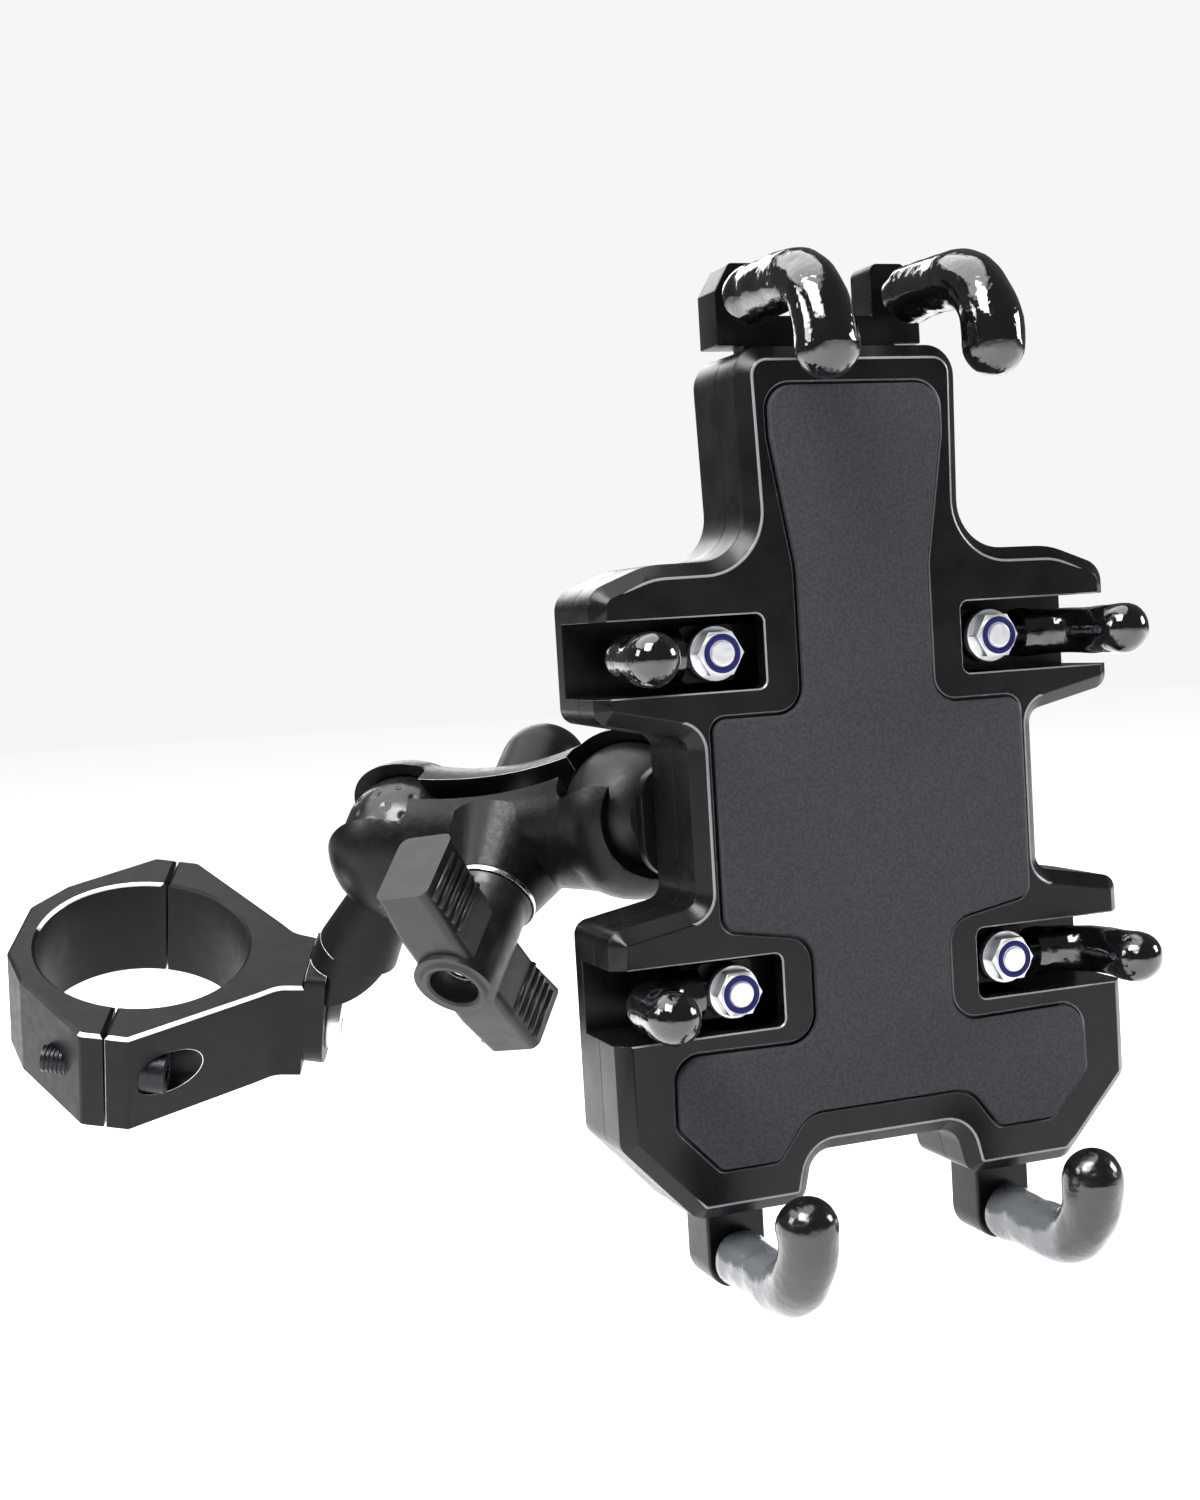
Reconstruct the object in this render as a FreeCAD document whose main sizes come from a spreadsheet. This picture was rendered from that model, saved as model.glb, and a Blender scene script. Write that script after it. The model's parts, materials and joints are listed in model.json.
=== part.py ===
import FreeCAD, Part
import math
import os
from FreeCAD import Placement, Rotation, Vector

# A phone cradle on a double ball arm, held to a bar by a two-piece split ring.
# The row frame has its origin at the centre of the ring's bore and the cradle
# upright: X to the cradle's right, Z up, and the phone's screen facing -Y.

DIMENSIONS = (
    ("bar_radius", 20.5, "bore of the split ring"),
    ("ring_height", 22.0, "length of the bore"),
    ("ring_tilt", 28.0, "lean of the bore's axis about X, in degrees"),
    ("neck_turn", -22.0, "turn of the ring's neck about the bore, in degrees"),
    ("neck_reach", 33.3, "from the bore's axis to the neck's end face"),
    ("neck_half_width", 8.6, "half the width of the neck's end face"),
    ("split_gap", 0.4, "gap between the two halves of the ring"),
    ("edge_chamfer", 0.6, "bevel round the ring's top and bottom edges"),
    ("clamp_screw_radius", 2.45, "M5 clamp screw"),
    ("clamp_screw_offset", 24.6, "clamp screws, from the bore's axis"),
    ("clamp_head_radius", 4.25, "head of the clamp screw"),
    ("clamp_head_height", 4.6, "height of the clamp screw's head"),
    ("clamp_seat", 6.0, "seat of the screw head, from the split"),
    ("clamp_screw_tip", 13.0, "tip of the clamp screw, beyond the split"),
    ("plate_thickness", 4.0, "bracket's plate on the neck's end face"),
    ("bracket_head_radius", 5.8, "button head on the bracket's plate"),
    ("bracket_bolt_radius", 3.0, "M6 screw through the bracket"),
    ("bracket_screw_z", -2.4, "the bracket's screw, along the bore's axis"),
    ("bracket_screw_depth", 7.9, "the bracket's screw, into the neck"),
    ("heel_radius", 17.0, "round heel of the bracket's elbow"),
    ("heel_z", 23.0, "middle of the heel, along the bore's axis"),
    ("ball_radius", 12.7, "one-inch balls, over their rubber covers"),
    ("cover_thickness", 0.7, "rubber cover on each ball"),
    ("ball_reach", 50.9, "lower ball, along the ring's neck"),
    ("ball_rise", 41.5, "lower ball, along the bore's axis"),
    ("lower_stem", 27.0, "lower ball's stem, from the ball's centre"),
    ("lower_foot_radius", 8.0, "foot of the lower ball's stem"),
    ("upper_foot_radius", 6.0, "foot of the upper ball's stem"),
    ("stem_neck_radius", 4.2, "both stems where they meet their balls"),
    ("lower_mouth", 6.9, "opening in the lower ball's cover"),
    ("upper_mouth", 7.2, "opening in the upper ball's cover"),
    ("socket_clearance", 0.3, "between a socket and a covered ball"),
    ("cup_wall", 2.5, "wall of the arm's sockets"),
    ("arm_half_gap", 2.5, "half the gap between the arm's halves"),
    ("waist_radius", 11.5, "arm's radius at the middle"),
    ("shoulder_reach", 7.5, "where a socket's round meets the waist, from its centre"),
    ("scallop_start", 8.5, "inner end of the arm's scallops, from the ball's centre"),
    ("scallop_half_width", 7.0, "half the width of the arm's scallops"),
    ("dome_z", -15.5, "middle of the rear half's dome"),
    ("boss_foot_radius", 12.5, "front half's boss where it leaves the arm"),
    ("boss_foot", 5.0, "level where the front half's boss leaves the arm"),
    ("boss_top", 16.5, "top of the front half's boss"),
    ("boss_radius", 8.3, "end face of the front half's boss"),
    ("bolt_radius", 3.0, "M6 bolt through the arm"),
    ("bolt_low", -12.0, "inner end of the arm's bolt"),
    ("bolt_high", 32.0, "where the bolt's chamfered tip starts"),
    ("spring_radius", 4.6, "spring round the bolt, to the middle of its wire"),
    ("spring_wire_radius", 0.6, "wire of the spring"),
    ("spring_low", -5.2, "lowest turn of the spring"),
    ("spring_pitch", 1.75, "from one turn of the spring to the next"),
    ("knob_end", 37.3, "outer end of the knob's hub"),
    ("hub_radius", 7.3, "knob's hub"),
    ("wing_reach", 20.5, "tip of the knob's wings"),
    ("wing_half_width", 5.8, "half the thickness of the knob's wings"),
    ("insert_radius", 4.4, "brass insert in the knob's hub"),
    ("cradle_x", 106.5, "middle of the cradle's front plane"),
    ("cradle_y", -111.0, "middle of the cradle's front plane"),
    ("cradle_z", 39.5, "middle of the cradle's front plane"),
    ("upper_ball_x", -27.5, "upper ball, from the cradle's middle"),
    ("upper_ball_y", 37.5, "upper ball, behind the cradle's front plane"),
    ("upper_ball_z", -6.5, "upper ball, from the cradle's middle"),
    ("base_thickness", 3.0, "plate that carries the upper ball"),
    ("shell_depth", 18.5, "both shells together, front to back"),
    ("seam_depth", 9.2, "seam between the shells"),
    ("front_bevel", 2.3, "bevel round the front shell's face"),
    ("shell_wall", 2.2, "wall of the shells"),
    ("pad_depth", 1.6, "thickness of the cushion pad"),
    ("pad_proud", 0.9, "how far the pad stands out of the front shell"),
    ("slot_inner", 18.0, "inner end of the side slots"),
    ("slot_height", 12.0, "height of the side slots"),
    ("slot_floor", 15.2, "floor of the side slots, behind the front plane"),
    ("upper_slot_z", 21.2, "middle of the upper slots"),
    ("lower_slot_z", -33.7, "middle of the lower slots"),
    ("nut_x", 25.3, "claw nuts, from the cradle's middle"),
    ("side_tip_x", 41.8, "side claws' tips"),
    ("rod_radius", 2.2, "steel rod inside each claw"),
    ("side_sleeve_radius", 4.4, "rubber sleeve of the side claws"),
    ("end_sleeve_radius", 5.1, "rubber sleeve of the top and bottom claws"),
    ("end_claw_z", 78.6, "level of the top and bottom claws' rods"),
    ("end_claw_y", -20.0, "front of the top and bottom claws"),
    ("end_claw_bend", 11.6, "bend of the top and bottom claws"),
    ("side_claw_bend", 8.0, "bend of the side claws"),
    ("claw_tip_z", 66.6, "level of the top and bottom claws' tips"),
    ("top_claw_x", 14.4, "top claws, from the middle"),
    ("bottom_claw_x", 25.4, "bottom claws, from the middle"),
    ("pinion_radius", 6.0, "pitch circle of the pinion"),
    ("pinion_z", -6.0, "pinion's axle"),
    ("rack_front", 7.0, "front of the racks and the pinion"),
    ("rack_back", 10.0, "back of the racks and the pinion"),
    ("carriage_back", 15.0, "back of the sliders"),
)

doc = FreeCAD.newDocument("phone_mount")
sheet = doc.addObject("Spreadsheet::Sheet", "Dimensions")
for row, (alias, number, meaning) in enumerate(DIMENSIONS, start=1):
    sheet.set("A%d" % row, alias)
    sheet.set("B%d" % row, str(number))
    sheet.set("C%d" % row, meaning)
    sheet.setAlias("B%d" % row, alias)
doc.recompute()

nodes = []


def dim(alias):
    """A driving dimension, read back from the sheet."""
    return float(sheet.get(alias))


def bound(alias):
    """The expression that reads a cell of the sheet."""
    return alias if "Dimensions." in alias else "Dimensions." + alias


# ---------------------------------------------------------------- helpers

def rounded_outline(corners):
    """Edges of a closed outline through corners (x, y, radius)."""
    arcs = []
    for index, (x, y, radius) in enumerate(corners):
        corner = Vector(x, y, 0)
        before = Vector(*corners[index - 1][:2], 0) - corner
        after = Vector(*corners[(index + 1) % len(corners)][:2], 0) - corner
        before.normalize()
        after.normalize()
        half_angle = before.getAngle(after) / 2
        reach = radius / math.tan(half_angle)
        middle = corner
        if radius > 0:
            inward = (before + after).normalize()
            middle = corner + inward * (radius / math.sin(half_angle) - radius)
        arcs.append((corner + before * reach, middle, corner + after * reach))
    edges = []
    for index, (start, middle, end) in enumerate(arcs):
        if (end - start).Length > 1e-6:
            edges.append(Part.Arc(start, middle, end))
        following = arcs[(index + 1) % len(arcs)][0]
        if (following - end).Length > 1e-6:
            edges.append(Part.LineSegment(end, following))
    return edges


def both_sides(half):
    """A full outline from its right half, listed from the top down."""
    return half + [(-x, y, radius) for x, y, radius in reversed(half)]


def rectangle(x_low, x_high, y_low, y_high, radius=0.0):
    """Edges of a rectangle with rounded corners."""
    corners = [(x_low, y_low), (x_high, y_low), (x_high, y_high), (x_low, y_high)]
    return rounded_outline([(x, y, radius) for x, y in corners])


def circle(x, y, radius):
    """A full circle for a sketch."""
    return [Part.Circle(Vector(x, y, 0), Vector(0, 0, 1), radius)]


def sketch_curves(wire):
    """The trimmed lines and arcs of a wire, ready for a sketch."""
    curves = []
    for edge in wire.Edges:
        if edge.Curve.TypeId == "Part::GeomLine":
            curves.append(Part.LineSegment(edge.Vertexes[0].Point, edge.Vertexes[1].Point))
        else:
            curves.append(Part.ArcOfCircle(edge.Curve, edge.FirstParameter, edge.LastParameter))
    return curves


def new_body(label, frame):
    """An empty body that stands in a group's frame and counts as a node."""
    body = doc.addObject("PartDesign::Body", label)
    body.Label = label
    body.Placement = frame
    nodes.append(body)
    return body


def sketch_on(body, plane, curves, offset=0.0):
    """A sketch on one of the body's origin planes, moved along its normal."""
    sketch = body.newObject("Sketcher::SketchObject", body.Name + "_sketch")
    support = [item for item in body.Origin.OriginFeatures if item.Role == plane][0]
    sketch.AttachmentSupport = [(support, "")]
    sketch.MapMode = "FlatFace"
    sketch.AttachmentOffset = Placement(Vector(0, 0, offset), Rotation())
    sketch.addGeometry(curves, False)
    sketch.detectMissingPointOnPointConstraints(1e-5)
    sketch.makeMissingPointOnPointCoincident()
    return sketch


def pad(body, sketch, length, backwards=False, centred=False):
    """Adds material along the sketch's normal, or against it."""
    feature = body.newObject("PartDesign::Pad", body.Name + "_pad")
    feature.Profile = sketch
    feature.setExpression("Length", length)
    feature.Reversed = backwards
    feature.Midplane = centred
    return feature


def pocket(body, sketch, length, forwards=False, centred=False):
    """Removes material against the sketch's normal, or along it."""
    feature = body.newObject("PartDesign::Pocket", body.Name + "_pocket")
    feature.Profile = sketch
    feature.setExpression("Length", length)
    feature.Reversed = forwards
    feature.Midplane = centred
    return feature


def cylinder(name, radius, height, base, axis):
    """A Part cylinder whose radius and height are expressions."""
    solid = doc.addObject("Part::Cylinder", name)
    solid.setExpression("Radius", radius)
    solid.setExpression("Height", height)
    solid.Placement = Placement(base, Rotation(Vector(0, 0, 1), axis))
    return solid


def fused(label, pieces, frame):
    """One node from overlapping Part solids."""
    result = doc.addObject("Part::MultiFuse", label)
    result.Shapes = pieces
    result.Refine = True
    result.Label = label
    result.Placement = frame
    nodes.append(result)
    return result


def cut_node(label, base, tool, frame):
    """One node from a Part solid with another taken out of it."""
    result = doc.addObject("Part::Cut", label)
    result.Base = base
    result.Tool = tool
    result.Label = label
    result.Placement = frame
    nodes.append(result)
    return result


def merged(name, pieces):
    """A fusion that only serves as a tool or a base for another feature."""
    result = doc.addObject("Part::MultiFuse", name)
    result.Shapes = pieces
    return result


def shape_node(label, shape, frame):
    """A node whose shape is built with Part's own functions."""
    result = doc.addObject("Part::Feature", label)
    result.Shape = shape.removeSplitter()
    result.Label = label
    result.Placement = frame
    nodes.append(result)
    return result


def prism(corners, low, high, axis):
    """A straight prism from a rounded outline, between two levels of an axis."""
    face = Part.Face(Part.Wire([edge.toShape() for edge in rounded_outline(corners)]))
    turn = {"x": Rotation(Vector(0, 1, 0), Vector(0, 0, 1), Vector(1, 0, 0), "ZXY"),
            "y": Rotation(Vector(1, 0, 0), Vector(0, 0, 1), Vector(0, -1, 0), "ZXY"),
            "z": Rotation()}[axis]
    face.Placement = Placement(turn.multVec(Vector(0, 0, low)), turn)
    return face.extrude(turn.multVec(Vector(0, 0, high - low)))


def smooth_path(points, radius):
    """Straight runs through the points, joined by tangent arcs."""
    edges = []
    start = points[0]
    for before, corner, after in zip(points, points[1:], points[2:]):
        inward = (before - corner).normalize()
        outward = (after - corner).normalize()
        half_angle = inward.getAngle(outward) / 2
        reach = radius / math.tan(half_angle)
        bisector = (inward + outward).normalize()
        middle = corner + bisector * (radius / math.sin(half_angle) - radius)
        edges.append(Part.LineSegment(start, corner + inward * reach).toShape())
        edges.append(Part.Arc(corner + inward * reach, middle, corner + outward * reach).toShape())
        start = corner + outward * reach
    edges.append(Part.LineSegment(start, points[-1]).toShape())
    return Part.Wire(edges)


def round_bar(points, bend, radius):
    """A solid round bar along a path, square at both ends."""
    path = smooth_path(points, bend)
    direction = points[1] - points[0]
    ring = Part.Wire(Part.makeCircle(radius, points[0], direction))
    return path.makePipeShell([ring], True, True)


# ---------------------------------------------------------------- frames

clamp_frame = Placement(
    Vector(0, 0, 0),
    Rotation(Vector(1, 0, 0), dim("ring_tilt")) * Rotation(Vector(0, 0, 1), dim("neck_turn")))
cradle_frame = Placement(
    Vector(dim("cradle_x"), dim("cradle_y"), dim("cradle_z")), Rotation())

lower_ball_local = Vector(dim("ball_reach"), 0, dim("ball_rise"))
lower_ball_centre = clamp_frame.multVec(lower_ball_local)
upper_ball_local = Vector(dim("upper_ball_x"), dim("upper_ball_y"), dim("upper_ball_z"))
upper_ball_centre = cradle_frame.multVec(upper_ball_local)

# The arm's own frame: X from the lower ball to the upper one, Z along the knob.
# The knob points down, forwards and to the left by nearly equal amounts.
knob_lean = Vector(-0.534, -0.548, -0.644)
arm_along = (upper_ball_centre - lower_ball_centre).normalize()
arm_frame = Placement(
    (lower_ball_centre + upper_ball_centre) * 0.5,
    Rotation(arm_along, Vector(0, 0, 0), knob_lean, "XZY"))
half_spacing = (upper_ball_centre - lower_ball_centre).Length / 2

# The lower stem's direction, from its ball down to the bracket: it leans towards the ring.
stem_down = Vector(-9.4, 0, -28.5).normalize()
cover_inner = dim("ball_radius") - dim("cover_thickness")


# ---------------------------------------------------------------- split ring

def ring_half(label, corners, screw_pocket_radius):
    """One half of the split ring: outline, bore and screw holes."""
    body = new_body(label, clamp_frame)
    pad(body, sketch_on(body, "XY_Plane", rounded_outline(corners)),
        "Dimensions.ring_height", centred=True)
    pocket(body, sketch_on(body, "XY_Plane", circle(0, 0, dim("bar_radius"))),
           "Dimensions.ring_height * 2", centred=True)
    holes = []
    for side in (-1, 1):
        holes += circle(side * dim("clamp_screw_offset"), 0, screw_pocket_radius)
    pocket(body, sketch_on(body, "YZ_Plane", holes), "Dimensions.neck_reach * 2", centred=True)
    return body


def level_edges(feature, level):
    """Names of the edges of a feature that lie wholly at plus or minus a level."""
    names = []
    for number, edge in enumerate(feature.Shape.Edges, start=1):
        box = edge.BoundBox
        if box.ZLength < 1e-4 and abs(abs(box.ZMin) - level) < 1e-4:
            names.append("Edge%d" % number)
    return names


def bevel(body, level):
    """Bevels a ring half's edges at its top and bottom faces."""
    doc.recompute()
    base = body.Tip
    feature = body.newObject("PartDesign::Chamfer", body.Name + "_bevel")
    feature.Base = (base, level_edges(base, level))
    feature.setExpression("Size", "Dimensions.edge_chamfer")
    return feature


def build_ring():
    split = dim("split_gap") / 2
    reach = dim("neck_reach")
    neck = dim("neck_half_width")
    body_half = [(split, 30.0, 0), (4.5, 30.0, 1.5), (25.0, 12.6, 6), (28.5, 9.4, 5), (reach, neck, 0)]
    cap_half = [(-split, 30.0, 0), (-4.5, 30.0, 1.5), (-19.5, 16.2, 2), (-24.4, 8.0, 2)]
    lower = [(x, -y, radius) for x, y, radius in reversed(body_half)]
    clamp_body = ring_half("clamp_body", body_half + lower, dim("clamp_screw_radius") + 0.15)
    seats = []
    for side in (-1, 1):
        seats += circle(side * dim("clamp_screw_offset"), 0, dim("clamp_head_radius") + 0.35)
    pocket(clamp_body, sketch_on(clamp_body, "YZ_Plane", seats, dim("clamp_seat")),
           "Dimensions.neck_reach", forwards=True)
    tapped = circle(0, dim("bracket_screw_z"), dim("bracket_bolt_radius"))
    pocket(clamp_body, sketch_on(clamp_body, "YZ_Plane", tapped, reach), "Dimensions.plate_thickness * 2")
    bevel(clamp_body, dim("ring_height") / 2)
    cap_lower = [(x, -y, radius) for x, y, radius in reversed(cap_half)]
    clamp_cap = ring_half("clamp_cap", cap_half + cap_lower, dim("clamp_screw_radius"))
    bevel(clamp_cap, dim("ring_height") / 2)


def hex_screw(label, radius, shank, head_radius, head_height, base, axis, frame):
    """A cap screw: shank from base along axis, socket head at its far end."""
    head_base = base + axis * shank
    pieces = merged(label + "_whole", [
        cylinder(label + "_shank", radius, str(shank), base, axis),
        cylinder(label + "_head", head_radius, str(head_height), head_base, axis)])
    socket = doc.addObject("Part::Prism", label + "_socket")
    socket.Polygon = 6
    socket.setExpression("Circumradius", head_radius + " * 0.5")
    socket.setExpression("Height", str(head_height * 0.6))
    socket.Placement = Placement(head_base + axis * (head_height * 0.4), Rotation(Vector(0, 0, 1), axis))
    return cut_node(label, pieces, socket, frame)


def build_clamp_screws():
    shank = dim("clamp_seat") + dim("clamp_screw_tip")
    for label, side in (("clamp_screw_near", -1), ("clamp_screw_far", 1)):
        base = Vector(dim("clamp_seat") - shank, side * dim("clamp_screw_offset"), 0)
        hex_screw(label, bound("clamp_screw_radius"), shank, bound("clamp_head_radius"),
                  dim("clamp_head_height"), base, Vector(1, 0, 0), clamp_frame)


# ---------------------------------------------------------------- lower ball

def build_bracket():
    """The plate on the neck's end and the elbow that carries the ball's stem."""
    reach = dim("neck_reach")
    width = dim("neck_half_width")
    outer = reach + dim("plate_thickness")
    top = dim("ring_height") / 2 + 2.0
    bottom = -dim("ring_height") / 2
    across = Vector(1, 0, 0)
    plate = prism([(-width, top, 2), (width, top, 2), (width, bottom, 8.0), (-width, bottom, 8.0)],
                  reach, outer, "x")
    seam = lower_ball_local + stem_down * dim("lower_stem")
    trunk = Part.makeCylinder(dim("lower_foot_radius"), 18.0, seam, stem_down)
    heel = Part.makeCylinder(dim("heel_radius"), 2 * width, Vector(reach, -width, dim("heel_z")),
                             Vector(0, 1, 0))
    outside = Part.makeBox(60, 60, 60, Vector(reach, -30, -30))
    elbow = trunk.common(heel).common(outside)
    screw_level = dim("bracket_screw_z")
    hole = Part.makeCylinder(dim("bracket_bolt_radius") + 0.05, 20, Vector(reach - 1, 0, screw_level), across)
    head_room = Part.makeCylinder(dim("bracket_head_radius") + 0.4, 30, Vector(outer, 0, screw_level), across)
    shape_node("ball_bracket", plate.fuse(elbow).cut(hole).cut(head_room), clamp_frame)
    shank = dim("plate_thickness") + dim("bracket_screw_depth")
    hex_screw("bracket_screw", bound("bracket_bolt_radius"), shank, bound("bracket_head_radius"), 2.8,
              Vector(outer - shank, 0, screw_level), across, clamp_frame)


def ball_on_stem(label, centre, direction, stem, foot_radius, frame):
    """A bare ball with a tapered stem that ends at its foot."""
    core = Part.makeSphere(cover_inner - 0.05, centre)
    foot = centre + direction * stem
    taper = Part.makeCone(foot_radius, dim("stem_neck_radius"), stem, foot, direction * -1)
    shape_node(label, core.fuse(taper), frame)


def ball_cover(label, centre, direction, opening, frame):
    """The rubber skin over a ball, open round the stem."""
    skin = Part.makeSphere(dim("ball_radius"), centre)
    hollow = Part.makeSphere(cover_inner, centre)
    mouth = Part.makeCylinder(opening, 20, centre, direction)
    shape_node(label, skin.cut(hollow).cut(mouth), frame)


def build_lower_ball():
    ball_on_stem("lower_ball", lower_ball_local, stem_down, dim("lower_stem"), dim("lower_foot_radius"),
                 clamp_frame)
    ball_cover("lower_ball_cover", lower_ball_local, stem_down, dim("lower_mouth"), clamp_frame)


# ---------------------------------------------------------------- arm

def arm_half(side):
    """Half of the socket arm: side 1 has the knob, side -1 the bolt's dome."""
    cup = dim("ball_radius") + dim("socket_clearance") + dim("cup_wall")
    waist = dim("waist_radius")
    end = Vector(-half_spacing - cup, 0, 0)
    shoulder_reach = dim("shoulder_reach")
    shoulder = Vector(shoulder_reach - half_spacing, math.sqrt(cup ** 2 - shoulder_reach ** 2), 0)
    crown = Vector(-half_spacing, cup, 0)
    far_shoulder = Vector(-shoulder.x, shoulder.y, 0)
    profile = Part.Wire([
        Part.Arc(end, crown, shoulder).toShape(),
        Part.Arc(shoulder, Vector(0, waist, 0), far_shoulder).toShape(),
        Part.Arc(far_shoulder, Vector(half_spacing, cup, 0), Vector(-end.x, 0, 0)).toShape(),
        Part.LineSegment(Vector(-end.x, 0, 0), end).toShape()])
    blank = Part.Face(profile).revolve(Vector(0, 0, 0), Vector(1, 0, 0), 360)
    if side > 0:
        foot = dim("boss_foot")
        boss = Part.makeCone(dim("boss_foot_radius"), dim("boss_radius"), dim("boss_top") - foot,
                             Vector(0, 0, foot))
    else:
        dome_centre = Vector(0, 0, dim("dome_z"))
        boss = Part.makeCylinder(dim("boss_radius"), 11, dome_centre)
        boss = boss.fuse(Part.makeSphere(dim("boss_radius"), dome_centre))
    blank = blank.fuse(boss)
    gap = dim("arm_half_gap")
    slab = Part.makeBox(200, 80, 60, Vector(-100, -40, -60 if side > 0 else 0))
    slab.translate(Vector(0, 0, side * gap))
    blank = blank.cut(slab)
    socket_radius = dim("ball_radius") + dim("socket_clearance")
    start = half_spacing - dim("scallop_start")
    beyond = half_spacing + 40
    half = dim("scallop_half_width")
    for end_side in (-1, 1):
        centre = Vector(end_side * half_spacing, 0, 0)
        blank = blank.cut(Part.makeSphere(socket_radius, centre))
        scallop = prism([(start, -half, 2.5), (beyond, -half, 0), (beyond, half, 0), (start, half, 2.5)],
                        -20, 20, "y")
        if end_side < 0:
            scallop = scallop.mirror(Vector(0, 0, 0), Vector(1, 0, 0))
        blank = blank.cut(scallop)
    turn_back = arm_frame.Rotation.inverted()
    for direction, centre_x, spread in (
            (turn_back.multVec(clamp_frame.Rotation.multVec(stem_down)), -half_spacing, 47),
            (turn_back.multVec(Vector(0, -1, 0)), half_spacing, 44)):
        reach = 24.0
        mouth = Part.makeCone(0.01, reach * math.tan(math.radians(spread)), reach,
                              Vector(centre_x, 0, 0), direction)
        blank = blank.cut(mouth)
    bolt_way = Part.makeCylinder(dim("bolt_radius") + 0.1, 60, Vector(0, 0, dim("bolt_low")))
    spring_way = Part.makeCylinder(dim("spring_radius") + 1.6, 12, Vector(0, 0, -6))
    blank = blank.cut(bolt_way).cut(spring_way)
    return max(blank.Solids, key=lambda solid: solid.Volume)


def build_arm():
    shape_node("arm_rear_half", arm_half(-1), arm_frame)
    shape_node("arm_front_half", arm_half(1), arm_frame)
    shank = cylinder("arm_bolt_shank", "Dimensions.bolt_radius", "Dimensions.bolt_high - Dimensions.bolt_low",
                     Vector(0, 0, dim("bolt_low")), Vector(0, 0, 1))
    tip = doc.addObject("Part::Cone", "arm_bolt_tip")
    tip.setExpression("Radius1", "Dimensions.bolt_radius")
    tip.setExpression("Radius2", "Dimensions.bolt_radius - 0.6")
    tip.setExpression("Height", "0.8")
    tip.Placement = Placement(Vector(0, 0, dim("bolt_high")), Rotation())
    fused("arm_bolt", [shank, tip], arm_frame)
    build_spring()


SPRING_TURNS = 7


def build_spring():
    """The spring round the bolt: rings of wire on the thin tube that they wind into."""
    radius = dim("spring_radius")
    pitch = dim("spring_pitch")
    base = Vector(0, 0, dim("spring_low"))
    height = pitch * (SPRING_TURNS - 1)
    spring = Part.makeCylinder(radius - 0.1, height, base).cut(Part.makeCylinder(radius - 0.5, height, base))
    for turn in range(SPRING_TURNS):
        centre = base + Vector(0, 0, pitch * turn)
        spring = spring.fuse(Part.makeTorus(radius, dim("spring_wire_radius"), centre))
    shape_node("arm_spring", spring, arm_frame)


def knob_wing(side):
    """One wing of the knob: a loft from its root in the hub to its tip, which droops a little."""
    sections = []
    width = dim("wing_half_width")
    for reach, half_width, low, high in ((2.0, width, 23.2, 36.4), (11.0, width, 23.0, 36.2),
                                         (dim("wing_reach"), width - 0.5, 21.0, 35.2)):
        outline = rectangle(-half_width, half_width, low, high, 1.8)
        wire = Part.Wire([edge.toShape() for edge in outline])
        turn = Rotation(Vector(1, 0, 0), 90)
        wire.Placement = Placement(Vector(0, reach, 0), turn)
        sections.append(wire)
    wing = Part.makeLoft(sections, True, True)
    if side < 0:
        wing.rotate(Vector(0, 0, 0), Vector(0, 0, 1), 180)
    return wing


def build_knob():
    low = dim("boss_top") + 1.3
    high = dim("knob_end")
    washer_tube = cylinder("washer_disc", "Dimensions.boss_radius", "1.0",
                           Vector(0, 0, dim("boss_top") + 0.1), Vector(0, 0, 1))
    washer_hole = cylinder("washer_hole", "Dimensions.bolt_radius + 0.1", "3.0",
                           Vector(0, 0, dim("boss_top") - 1), Vector(0, 0, 1))
    cut_node("knob_washer", washer_tube, washer_hole, arm_frame)
    hub = Part.makeCylinder(dim("hub_radius"), high - low, Vector(0, 0, low))
    hub = hub.fuse(Part.makeCone(dim("hub_radius") + 0.6, dim("hub_radius"), 2.0, Vector(0, 0, low)))
    hub = hub.fuse(knob_wing(1)).fuse(knob_wing(-1))
    bore = Part.makeCylinder(dim("insert_radius"), high - low, Vector(0, 0, low))
    shape_node("knob", hub.cut(bore), arm_frame)
    sleeve = cylinder("insert_sleeve", "Dimensions.insert_radius - 0.02", "%s - 4.0" % (high - low),
                      Vector(0, 0, low), Vector(0, 0, 1))
    thread = cylinder("insert_thread", "Dimensions.bolt_radius + 0.06", "60", Vector(0, 0, low - 20),
                      Vector(0, 0, 1))
    cut_node("knob_insert", sleeve, thread, arm_frame)


# ---------------------------------------------------------------- cradle shells

def shell_outline():
    """The cradle's outer edge: neck, shoulders, side notches, legs and arch."""
    return both_sides([
        (20.2, 69.8, 5.0), (19.3, 36.0, 8.0), (37.0, 35.8, 14.0), (47.0, 32.0, 4.0),
        (47.0, 11.4, 2.6), (31.5, 8.0, 2.6), (31.5, -18.9, 2.6), (47.0, -21.8, 2.6),
        (47.0, -56.3, 3.0), (34.6, -69.6, 3.0), (15.4, -69.6, 2.8), (13.4, -61.4, 4.0)])


def pad_outline(grow):
    """The cushion pad's edge, or the recess round it when grow is above zero."""
    half = [(15.4, 63.3, 4.0), (15.3, 55.0, 12.0), (11.8, 34.0, 16.0), (11.8, 10.7, 4.5),
            (27.9, 10.7, 2.2), (27.9, -22.9, 2.2), (12.4, -25.6, 5.0), (12.4, -43.0, 5.0),
            (37.4, -42.6, 4.0), (37.6, -54.0, 2.0), (30.6, -61.4, 1.5), (20.6, -61.4, 2.0),
            (15.2, -54.2, 6.0)]
    wire = Part.Wire([edge.toShape() for edge in rounded_outline(both_sides(half))])
    if grow:
        wire = wire.makeOffset2D(grow)
    return sketch_curves(wire)


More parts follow.
